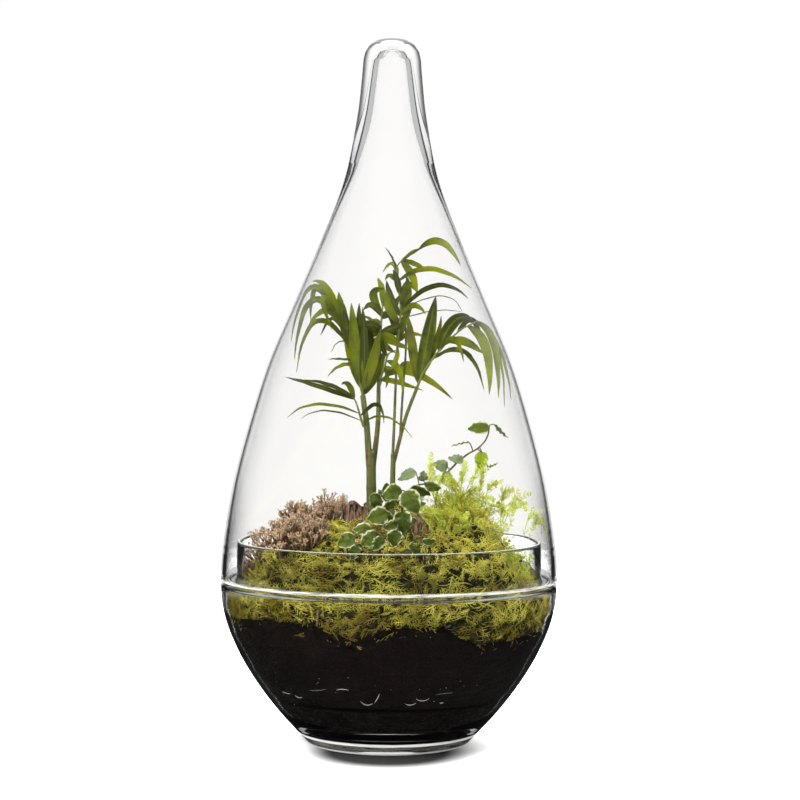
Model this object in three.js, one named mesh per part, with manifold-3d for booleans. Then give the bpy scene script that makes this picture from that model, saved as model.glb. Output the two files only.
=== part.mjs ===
// A glass plant terrarium. A round glass bowl with a thick foot and an upstanding neck holds drainage gravel, potting
// soil, moss, reindeer lichen, bark, two clumps of parlour palm, creeping fig and spikemoss. A tall drop-shaped glass
// dome with a solid tip rests on the bowl's shoulder, round the neck.
import * as THREE from "three";
import { mergeVertices } from "three/addons/utils/BufferGeometryUtils.js";
import Module from "manifold-3d";

const wasm = await Module();
wasm.setup();

// Driving dimensions in millimetres. The origin is the middle of the foot, +Z is up and -Y is the front.
const HEIGHT = 500;
const GAP = 0.35;
const SOIL_GAP = 0.9;
const LATHE_SIDES = 28;
const NECK_INNER_R = 105.3;
const SHOULDER_Z = 114.8;
const DRAINAGE_TOP_Z = 36;
const SOIL_CROWN_Z = 118;
const MOSS_EDGE_Z = 128;
const MOSS_RISE = 24;
const MOSS_ROUNDING = 4;
const MOSS_MIDDLE_R = 30;
const RIGHT_MOUND = { x: 60, y: 0, spread: 22, height: 22 };
const RIGHT_HOLLOW = { x: 108, y: 0, spread: 14, height: -13 };
const SECTOR_TRIM_DEGREES = 0.3;
const DOME_STEPS = 11;
const BLADE_THICKNESS = 0.9;
const LEAF_REACH = 2.5;
const TOOTH_GAP_WIDTH = 0.16;
const TOOTH_LEAN = 0.3;
const FIG_FOLD = 0.08;
const SPRAY_FOLD = 0.1;
const STALK_R = 0.5;
const PALM_RIB_RADII = [1.2, 0.8];
const FIG_STEM_RADII = [0.95, 0.7];
const FIG_SEAT_RADII = [1, 0.8];
const CANE_FOOT_Z = 104;
const ABOVE_MOSS_Z = 200;
const GOLDEN_TURN = 2.4;

// Outlines as [radius, height] points. The walls between them are drawn as smooth curves.
const DOME_OUTSIDE = [
  [119.7, 115.15],
  [117.6, 143],
  [110.5, 186],
  [99.4, 229],
  [85.9, 271.6],
  [67.7, 314.3],
  [49.5, 357],
  [33.5, 400],
  [24.9, 443],
  [21.7, 471],
  [20.5, 486],
];
const DOME_TIP = [
  [19.6, 489.7],
  [16, 495.4],
  [10, 498.8],
  [0, HEIGHT],
];
const DOME_INSIDE = [
  [0, 490.5],
  [6, 489],
  [9.5, 484],
  [11.2, 470],
  [14.2, 443],
  [21.6, 417],
  [29.5, 400],
  [47.5, 357],
  [66.4, 314.3],
  [84.4, 271.6],
  [97.5, 229],
  [108.3, 186],
  [114.7, 143],
  [116.2, 115.15],
];
const BOWL_OUTSIDE = [
  [57.7, 0.9],
  [64.2, 7.8],
  [77.3, 22],
  [88.7, 36.4],
  [98.4, 50.6],
  [106.6, 65],
  [114.2, 82.5],
  [118.4, 99],
];
const BOWL_SHOULDER_AND_NECK = [
  [119.5, 113],
  [118.3, SHOULDER_Z],
  [111.6, SHOULDER_Z],
  [109, 116.8],
  [108.3, 121],
  [108.3, 141.6],
  [106.8, 143],
  [NECK_INNER_R, 141.6],
  [NECK_INNER_R, 116],
];
const BOWL_INSIDE = [
  [107.8, 109.8],
  [112.6, 106.6],
  [115.3, 102],
  [114.3, 93.4],
  [109.8, 79],
  [103.2, 65],
  [94.8, 50.6],
  [84.9, 36.4],
  [73, 22],
  [60, 12.6],
];

// Where the soil meets the bowl: height at each angle round the axis, in degrees from +X. The front is -90.
const SOIL_EDGE = [
  [-180, 90.5],
  [-131, 95.5],
  [-117, 93.5],
  [-101, 85.5],
  [-88, 95],
  [-71, 92.5],
  [-57, 80.5],
  [-25, 84],
  [0, 82],
  [50, 90],
  [95, 94],
  [140, 87],
  [180, 90.5],
];

// The eye that looks at the front. Plants are placed as they are seen from there, each at its own depth.
const EYE = { x: 7, z: 256.6, distance: 1365 };

const COLOURS = {
  glass: [0xf4f8f7, 0.03],
  gravel: [0x2b2724, 0.8],
  soil: [0x17110d, 0.95],
  moss: [0x8f9622, 0.9],
  lichen: [0xb39c80, 0.9],
  lichenGrey: [0xc4c1bb, 0.9],
  bark: [0x7c5a41, 0.85],
  cane: [0x6f7a3f, 0.6],
  palm: [0x3f6b1a, 0.45],
  fig: [0x3d7a25, 0.4],
  spikemoss: [0xa6bf3c, 0.7],
};

// The same random draws every time the file runs.
function seededRandom(seed) {
  let state = seed;
  return () => {
    state = (state + 0x6d2b79f5) | 0;
    let t = Math.imul(state ^ (state >>> 15), 1 | state);
    t = (t + Math.imul(t ^ (t >>> 7), 61 | t)) ^ t;
    return ((t ^ (t >>> 14)) >>> 0) / 4294967296;
  };
}

// Moves a point seen in the upright plane through the axis back along the line of sight to its own depth.
function alongSight([x, y, z]) {
  const scale = (EYE.distance + y) / EYE.distance;
  return new THREE.Vector3(EYE.x + (x - EYE.x) * scale, y, EYE.z + (z - EYE.z) * scale);
}

// The radius of an outline at a height, between its points.
function radiusAt(outline, z) {
  const sorted = [...outline].sort((a, b) => a[1] - b[1]);
  const above = Math.max(1, sorted.findIndex((p) => p[1] >= z));
  const [low, high] = [sorted[above - 1], sorted[above]];
  return THREE.MathUtils.mapLinear(z, low[1], high[1], low[0], high[0]);
}

// A smooth curve through outline points, cut into even steps.
function smoothed(outline, steps) {
  const curve = new THREE.SplineCurve(outline.map(([r, z]) => new THREE.Vector2(r, z)));
  return curve.getPoints(steps).map((p) => [p.x, p.y]);
}

// Closed solids

function solid(geometry) {
  const bare = geometry.index ? geometry.clone() : geometry;
  bare.deleteAttribute("normal");
  bare.deleteAttribute("uv");
  const merged = mergeVertices(bare, 1e-4);
  const build = (triVerts) =>
    new wasm.Manifold(
      new wasm.Mesh({ numProp: 3, vertProperties: merged.attributes.position.array, triVerts }),
    );
  const made = build(new Uint32Array(merged.index.array));
  if (made.volume() > 0) return made;
  return build(new Uint32Array(merged.index.array).reverse());
}

// Joins solids that grow into each other and keeps the one body that they make.
function grown(solids) {
  const bodies = wasm.Manifold.union(solids).decompose();
  return bodies.reduce((a, b) => (a.volume() > b.volume() ? a : b));
}

function surface(points, triangles) {
  const geometry = new THREE.BufferGeometry();
  geometry.setAttribute("position", new THREE.Float32BufferAttribute(points.flatMap((p) => p.toArray()), 3));
  geometry.setIndex(triangles);
  return geometry;
}

// The triangles that close a flat ring of points, worked out in the ring's own plane.
function capTriangles(ring) {
  const normal = new THREE.Vector3();
  ring.forEach((p, i) => normal.add(new THREE.Vector3().crossVectors(p, ring[(i + 1) % ring.length])));
  const turn = new THREE.Quaternion().setFromUnitVectors(normal.normalize(), new THREE.Vector3(0, 0, 1));
  const flat = ring.map((p) => p.clone().applyQuaternion(turn)).map((p) => new THREE.Vector2(p.x, p.y));
  return THREE.ShapeUtils.triangulateShape(flat, []);
}

// A closed solid over rings of points. A ring of one point is a sharp end; other ends are capped flat.
function loft(rings) {
  const points = rings.flat();
  const starts = rings.map((_, i) => rings.slice(0, i).reduce((sum, r) => sum + r.length, 0));
  const triangles = [];
  for (let i = 0; i + 1 < rings.length; i++) {
    const [a, b] = [starts[i], starts[i + 1]];
    const sides = Math.max(rings[i].length, rings[i + 1].length);
    for (let k = 0; k < sides; k++) {
      const next = (k + 1) % sides;
      if (rings[i].length === 1) triangles.push(a, b + next, b + k);
      else if (rings[i + 1].length === 1) triangles.push(a + k, a + next, b);
      // The short diagonals turn alternately, so that both faces of a thin blade are split alike.
      else if (k % 2) triangles.push(a + k, a + next, b + k, a + next, b + next, b + k);
      else triangles.push(a + k, a + next, b + next, a + k, b + next, b + k);
    }
  }
  const first = rings[0];
  const last = rings.at(-1);
  if (first.length > 1) capTriangles(first).forEach(([p, q, r]) => triangles.push(p, r, q));
  if (last.length > 1) {
    const start = starts.at(-1);
    capTriangles(last).forEach(([p, q, r]) => triangles.push(start + p, start + q, start + r));
  }
  return solid(surface(points, triangles));
}

// A full turn round the axis of an outline that may change with the angle. It starts and ends on the axis.
function turned(outlineAt, sides = LATHE_SIDES, centre = [0, 0]) {
  const columns = [];
  for (let j = 0; j < sides; j++) {
    const angle = (2 * Math.PI * j) / sides;
    const [c, s] = [Math.cos(angle), Math.sin(angle)];
    columns.push(outlineAt(angle).map(([r, z]) => new THREE.Vector3(centre[0] + r * c, centre[1] + r * s, z)));
  }
  const count = columns[0].length;
  const triangles = [];
  for (let j = 0; j < sides; j++) {
    const [a, b] = [j * count, ((j + 1) % sides) * count];
    for (let k = 0; k + 1 < count; k++) {
      triangles.push(a + k, b + k, b + k + 1, a + k, b + k + 1, a + k + 1);
    }
  }
  return closedSolid(columns.flat(), triangles);
}

// Drops triangles that have no area after shared points are merged, then builds the solid.
function closedSolid(points, triangles) {
  const kept = [];
  for (let i = 0; i < triangles.length; i += 3) {
    const [a, b, c] = triangles.slice(i, i + 3).map((n) => points[n]);
    const distinct = a.distanceTo(b) > 1e-3 && b.distanceTo(c) > 1e-3 && c.distanceTo(a) > 1e-3;
    if (distinct) kept.push(triangles[i], triangles[i + 1], triangles[i + 2]);
  }
  return solid(surface(points, kept));
}

// A round glass wall from an outline that starts and ends on the axis.
function lathe(outline) {
  const points = outline.map(([r, z]) => new THREE.Vector2(r, z));
  return solid(new THREE.LatheGeometry(points, LATHE_SIDES).rotateX(Math.PI / 2));
}

// A tube along a smooth path, with a radius that changes evenly from its start to its end.
function tube(path, startRadius, endRadius, { sides = 5, steps = 4, pointed = false } = {}) {
  const curve = new THREE.CatmullRomCurve3(path);
  const frames = curve.computeFrenetFrames(steps);
  const rings = [];
  for (let i = 0; i <= steps; i++) {
    const centre = curve.getPointAt(i / steps);
    const radius = THREE.MathUtils.lerp(startRadius, endRadius, i / steps);
    if (pointed && i === steps) rings.push([centre]);
    else rings.push(circle(centre, frames.normals[i], frames.binormals[i], radius, sides));
  }
  return loft(rings);
}

function circle(centre, u, v, radius, sides) {
  const ring = [];
  for (let k = 0; k < sides; k++) {
    const angle = (2 * Math.PI * k) / sides;
    ring.push(
      centre
        .clone()
        .addScaledVector(u, radius * Math.cos(angle))
        .addScaledVector(v, radius * Math.sin(angle)),
    );
  }
  return ring;
}

// A path that runs further at both of its ends.
function lengthened(path, extra) {
  const further = (end, before) => end.clone().add(end.clone().sub(before).setLength(extra));
  return [further(path[0], path[1]), ...path.slice(1, -1), further(path.at(-1), path.at(-2))];
}

// A straight three-sided spine that ends in a point.
function spine(from, to, radius) {
  return tube([from, to], radius, 0, { sides: 3, steps: 1, pointed: true });
}

// Leaves

// Half widths along a blade from base (0) to tip (1), as shares of its greatest half width.
const LANCE = (t) => (t ** 0.6 * (1 - t) ** 0.8) / 0.385;
const OVATE = (t) => (t ** 0.45 * (1 - t) ** 0.55) / 0.503;
const BLUNT = (t) => (t ** 0.55 * (1 - t) ** 0.3) / 0.61;

// The four points round a blade at one place: both edges, and the rib's two faces.
function bladeRing(centre, { along, across, up }, half, fold, ahead = 0) {
  const edge = (side) =>
    centre
      .clone()
      .addScaledVector(across, side * half)
      .addScaledVector(along, ahead)
      .addScaledVector(up, -fold * half);
  const rib = (side) => centre.clone().addScaledVector(up, (side * BLADE_THICKNESS) / 2);
  return [edge(1), rib(1), edge(-1), rib(-1)];
}

// A thin arched blade from its base over a middle point to its tip. Roll turns it about its own length: at 0 its
// face looks to the front, at 90 its edge does. Teeth cut the outline to the rib on both sides. With a root, a thin
// stalk leads from there to the base.
function blade({ root, base, middle, tip, width, roll = 30, outline = LANCE, steps = 4, fold = 0.12, teeth = 0 }) {
  const control = middle.clone().multiplyScalar(2).addScaledVector(base, -0.5).addScaledVector(tip, -0.5);
  const curve = new THREE.QuadraticBezierCurve3(base, control, tip);
  const depth = new THREE.Vector3(0, 1, 0);
  const rings = [];
  const count = teeth ? 2 * teeth : steps;
  for (let i = 0; i < count; i++) {
    const t = i / count;
    const along = curve.getTangent(t);
    const across = new THREE.Vector3().crossVectors(along, depth).normalize();
    across.applyAxisAngle(along, THREE.MathUtils.degToRad(roll));
    const frame = { along, across, up: new THREE.Vector3().crossVectors(across, along) };
    const toothed = teeth > 0 && i % 2 === 1;
    const share = outline(t) * (teeth > 0 && !toothed ? TOOTH_GAP_WIDTH : 1);
    const half = Math.max(BLADE_THICKNESS / 2, (width / 2) * share);
    if (i === 0 && root) rings.push(bladeRing(root, frame, half, fold));
    rings.push(bladeRing(curve.getPoint(t), frame, half, fold, toothed ? TOOTH_LEAN * half : 0));
  }
  rings.push([tip]);
  return loft(rings);
}

// The point of a path that lies nearest to a given point.
function nearestOn(path, point) {
  const samples = new THREE.CatmullRomCurve3(path).getSpacedPoints(24);
  return samples.reduce((a, b) => (a.distanceTo(point) < b.distanceTo(point) ? a : b));
}

// Keeps a leaf point clear of the dome's inner wall.
function insideDome(point) {
  const room = radiusAt(DOME_INSIDE, point.z) - 2.6;
  const reach = Math.hypot(point.x, point.y);
  if (reach > room) {
    point.x *= room / reach;
    point.y *= room / reach;
  }
  return point;
}

const seen = (p) => insideDome(alongSight(p));

// The ground

// Slow waves over the plan, between -1 and 1, which roughen every layer.
function ripple(x, y) {
  return 0.5 * Math.sin(0.11 * x + 1.3) * Math.cos(0.13 * y + 0.4) + 0.5 * Math.sin(0.23 * y - 0.17 * x);
}

function bell(dx, dy, spread) {
  return Math.exp(-(dx * dx + dy * dy) / (2 * spread * spread));
}

const WALL_GAP = 0.5;
const wallR = (z) => radiusAt(BOWL_INSIDE, z) - WALL_GAP;

function soilEdge(angle) {
  const degrees = THREE.MathUtils.euclideanModulo(THREE.MathUtils.radToDeg(angle) + 180, 360) - 180;
  const next = Math.max(1, SOIL_EDGE.findIndex(([place]) => place >= degrees));
  const [from, to] = [SOIL_EDGE[next - 1], SOIL_EDGE[next]];
  return THREE.MathUtils.mapLinear(degrees, from[0], to[0], from[1], to[1]);
}

// The soil is piled up in the middle.
function soilTop(r, angle) {
  const edge = soilEdge(angle);
  return THREE.MathUtils.lerp(SOIL_CROWN_Z, edge, Math.min(1, r / wallR(edge)) ** 2);
}

function mossTop(x, y) {
  const r = Math.min(Math.hypot(x, y), NECK_INNER_R);
  const crown = MOSS_EDGE_Z + MOSS_RISE * (1 - (r / NECK_INNER_R) ** MOSS_ROUNDING);
  const hill = (spot) => spot.height * bell(x - spot.x, y - spot.y, spot.spread);
  return crown + hill(RIGHT_MOUND) + hill(RIGHT_HOLLOW);
}

const SOIL_RADII = [80, 55];

function drainageLayer() {
  const floor = [
    [0, 9.7],
    [59.6, 13.1],
    [wallR(22), 22.4],
    [wallR(35), 35],
  ];
  return turned((angle) => [
    ...floor,
    [62, DRAINAGE_TOP_Z - 0.6 + Math.sin(5 * angle)],
    [34, DRAINAGE_TOP_Z - 1 + Math.sin(4 * angle + 2)],
    [0, DRAINAGE_TOP_Z],
  ]);
}

function pottingSoil() {
  return turned((angle) => [
    [0, DRAINAGE_TOP_Z + 0.8],
    [62, DRAINAGE_TOP_Z + 1.2],
    [wallR(37.6), 37.6],
    [wallR(50.6), 50.6],
    [wallR(65), 65],
    [wallR(76), 76],
    [wallR(soilEdge(angle)), soilEdge(angle)],
    ...SOIL_RADII.map((r) => [r, soilTop(r, angle)]),
    ...[MOSS_MIDDLE_R, 0].map((r) => [r, soilTop(r, angle)]),
  ]);
}

// The upright section of the ring of moss at an angle: over the soil, up the glass and back over the top.
function mossSection(angle) {
  const edge = soilEdge(angle) + SOIL_GAP;
  const at = (r) => mossTop(r * Math.cos(angle), r * Math.sin(angle)) + 1.5 * ripple(40 * angle, r);
  const inner = MOSS_MIDDLE_R + GAP;
  return [
    [inner, soilTop(inner, angle) + SOIL_GAP],
    ...SOIL_RADII.toReversed().map((r) => [r, soilTop(r, angle) + SOIL_GAP]),
    [wallR(edge), edge],
    [wallR(102), 102],
    [wallR(109.8), 109.8],
    [NECK_INNER_R - GAP, 113.5],
    ...[NECK_INNER_R - GAP, 92, 72, 50, inner].map((r) => [r, at(r)]),
  ];
}

// A piece of the ring of moss between two corners of the round walls, with a small gap to its neighbours.
function mossSector(from, to) {
  const rings = [];
  for (let i = from; i <= to; i++) {
    const trim = i === from ? SECTOR_TRIM_DEGREES : i === to ? -SECTOR_TRIM_DEGREES : 0;
    const angle = THREE.MathUtils.degToRad((360 * i) / LATHE_SIDES + trim);
    const [c, s] = [Math.cos(angle), Math.sin(angle)];
    rings.push(mossSection(angle).map(([r, z]) => new THREE.Vector3(r * c, r * s, z)));
  }
  return loft(rings);
}

function mossMiddle() {
  return turned((angle) => [
    [0, soilTop(0, angle) + SOIL_GAP],
    [MOSS_MIDDLE_R - GAP, soilTop(MOSS_MIDDLE_R, angle) + SOIL_GAP],
    ...[MOSS_MIDDLE_R - GAP, 15].map((r) => [r, mossTop(r * Math.cos(angle), r * Math.sin(angle))]),
    [0, mossTop(0, 0)],
  ]);
}

const SHOOT = { radius: 1.6, sink: 3, low: 4, high: 7, lean: 3, clearance: 3.5, margin: 0.3 };

// Moss shoots: short spines that stand out of a cushion at random, away from what stands on it.
function shoots(cushion, { from, to, inner, outer, count, seed }, taken) {
  const random = seededRandom(seed);
  const solids = [cushion];
  while (solids.length <= count) {
    const place = THREE.MathUtils.lerp(from + SHOOT.margin, to - SHOOT.margin, random());
    const angle = (2 * Math.PI * place) / LATHE_SIDES;
    const r = Math.sqrt(THREE.MathUtils.lerp(inner ** 2, outer ** 2, random()));
    const [x, y] = [r * Math.cos(angle), r * Math.sin(angle)];
    const lean = [SHOOT.lean * (random() - 0.5), SHOOT.lean * (random() - 0.5)];
    const height = THREE.MathUtils.lerp(SHOOT.low, SHOOT.high, random());
    if (taken.some((spot) => Math.hypot(x - spot.x, y - spot.y) < spot.r + SHOOT.clearance)) continue;
    const z = mossTop(x, y);
    const foot = new THREE.Vector3(x, y, z - SHOOT.sink);
    solids.push(spine(foot, new THREE.Vector3(x + lean[0], y + lean[1], z + height), SHOOT.radius));
  }
  return grown(solids);
}

// Lichen: a low lobed cushion that many forked branchlets stand out of.
const LICHEN_TUFTS = [
  { name: "lichen_tuft_1", x: -82, y: -28, r: 16, height: 26, seed: 11 },
  { name: "lichen_tuft_2", x: -60, y: -58, r: 17, height: 27, seed: 12 },
  { name: "lichen_tuft_3", x: -68, y: 20, r: 16, height: 26, seed: 13 },
  { name: "lichen_tuft_4", x: -43, y: -3, r: 11, height: 32, seed: 14 },
  { name: "lichen_tuft_grey", x: -35, y: 15, r: 8.5, height: 27, seed: 15 },
];
const LICHEN_SINK = 2.5;
const LICHEN_LOBES = 0.08;
const LICHEN_BRANCH = { perMm: 0.45, radius: 2.2, foot: 10, fork: 2.6, spread: 0.8, lean: 0.75, rounding: 0.45 };

function lichenCushion({ x, y, r }, extra) {
  const lobes = (angle) => 1 + LICHEN_LOBES * Math.sin(3 * angle + x);
  const steps = [
    [0, -LICHEN_SINK - extra],
    [0.85, -LICHEN_SINK - extra],
    [0.95, 4],
    [0.9, 11],
    [0.55, 16],
    [0, 17],
  ];
  const place = (angle) =>
    steps.map(([share, lift]) => {
      const reach = share * r * lobes(angle) + (share > 0 ? extra : 0);
      const ground = mossTop(x + reach * Math.cos(angle), y + reach * Math.sin(angle));
      return [reach, ground + lift];
    });
  return turned(place, 8, [x, y]);
}

function lichenTuft(tuft) {
  const random = seededRandom(tuft.seed);
  const solids = [lichenCushion(tuft, 0)];
  const branches = Math.round(tuft.r * LICHEN_BRANCH.perMm);
  for (let i = 0; i < branches; i++) {
    const angle = i * GOLDEN_TURN + 0.5 * random();
    const out = Math.sqrt((i + 0.5) / branches) * LICHEN_BRANCH.spread;
    const [c, s] = [Math.cos(angle), Math.sin(angle)];
    const at = (share, z) => new THREE.Vector3(tuft.x + share * tuft.r * c, tuft.y + share * tuft.r * s, z);
    const ground = mossTop(at(out, 0).x, at(out, 0).y);
    const rounding = 1 - LICHEN_BRANCH.rounding * out ** 2;
    const top = ground + tuft.height * rounding * THREE.MathUtils.lerp(0.85, 1, random());
    const foot = at(out * LICHEN_BRANCH.lean, ground + LICHEN_BRANCH.foot);
    for (const turn of [-1, 1]) {
      const tip = at(Math.min(out, 1 - 3 / tuft.r), top - 4 * random());
      tip.add(new THREE.Vector3(-s, c, 0).multiplyScalar(turn * LICHEN_BRANCH.fork));
      solids.push(spine(foot, tip, LICHEN_BRANCH.radius));
    }
  }
  return grown(solids);
}

// Bark chips: bent slabs, each set by the points along its top edge and how far it reaches down.
const BARK_CHIPS = [
  {
    name: "bark_chip_left",
    drop: 20,
    thickness: 4,
    edge: [
      [-33, -20, 165],
      [-28, -22, 170],
      [-22, -23, 169.5],
      [-17, -22, 166],
      [-14, -20, 163],
    ],
  },
  {
    name: "bark_chip_right",
    drop: 24,
    thickness: 4,
    edge: [
      [14, -58, 160],
      [18, -60, 161],
      [23, -59, 159],
      [28, -56, 155],
    ],
  },
];

function barkChip({ edge, drop, thickness }, extra) {
  const half = thickness / 2 + extra;
  const rings = edge.map((p, i) => {
    const top = alongSight(p);
    if (i === 0) top.x -= extra;
    if (i === edge.length - 1) top.x += extra;
    const lean = 0.12 * drop;
    const wave = 0.6 * Math.sin(2.1 * i);
    return [
      new THREE.Vector3(top.x, top.y - half * 0.7 + wave, top.z),
      new THREE.Vector3(top.x, top.y + half * 0.7 + wave, top.z),
      new THREE.Vector3(top.x, top.y + half - wave, top.z - drop * 0.5),
      new THREE.Vector3(top.x, top.y + half * 0.8 - lean, top.z - drop - 3 * extra),
      new THREE.Vector3(top.x, top.y - half * 0.8 - lean, top.z - drop - 3 * extra),
      new THREE.Vector3(top.x, top.y - half - wave, top.z - drop * 0.5),
    ];
  });
  return loft(rings);
}

const TWIGS = [
  {
    name: "twig_left",
    path: [
      [-45.5, -97.5, 107],
      [-46.5, -98.5, 95],
      [-47.5, -97, 84],
    ],
  },
  {
    name: "twig_right",
    path: [
      [35, -99, 91],
      [40, -97.5, 95],
      [46, -95, 97],
    ],
  },
];
const TWIG_R = 0.9;

function twig({ path }, extra) {
  const points = lengthened(path.map((p) => new THREE.Vector3(...p)), extra);
  return tube(points, TWIG_R + extra, TWIG_R * 0.8 + extra, { sides: 5, steps: 3 });
}

// Palm canes: each stem is a path with its start and end radius, and the stems of a clump grow from one foot.
const PALM_CANES = [
  {
    name: "palm_cane_left",
    foot: { x: -12.9, y: -2, r: 3.9 },
    stems: [
      [[[-13.2, -2, CANE_FOOT_Z], [-12.8, -2, 150], [-13, -2, 180], [-13.4, -2, 206]], 3.8, 3.4],
      [[[-14.4, -3, 196], [-16.6, -4, 225], [-18.4, -5, 238], [-19.4, -5, 245.5]], 2.5, 1.9],
      [[[-11.8, -1, 196], [-8.6, 1, 225], [-8.2, 3, 251], [-7.4, 3, 284.5]], 2.1, 1.0],
    ],
  },
  {
    name: "palm_cane_right",
    foot: { x: 2, y: 3, r: 2.3 },
    stems: [
      [[[2, 3, CANE_FOOT_Z], [1.9, 3, 150], [2.2, 3, 182], [2.6, 3, 204]], 2.2, 1.8],
      [[[2, 3, 198], [3, 2, 225], [3.8, 1, 250], [5, 1, 281]], 1.1, 0.8],
      [[[3, 3, 198], [9.9, -1, 225.6], [14, -3, 238], [17.5, -5, 247], [19, -5.5, 251]], 1.4, 1.2],
      [[[7.2, 1, 215], [8.3, 5, 235], [9.2, 7, 250], [11, 7, 279], [10.4, 7, 300]], 0.9, 0.7],
    ],
  },
];

function palmCane({ stems }) {
  return grown(stems.map(([path, start, end]) => tube(path.map(alongSight), start, end, { sides: 6, steps: 4 })));
}

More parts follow.
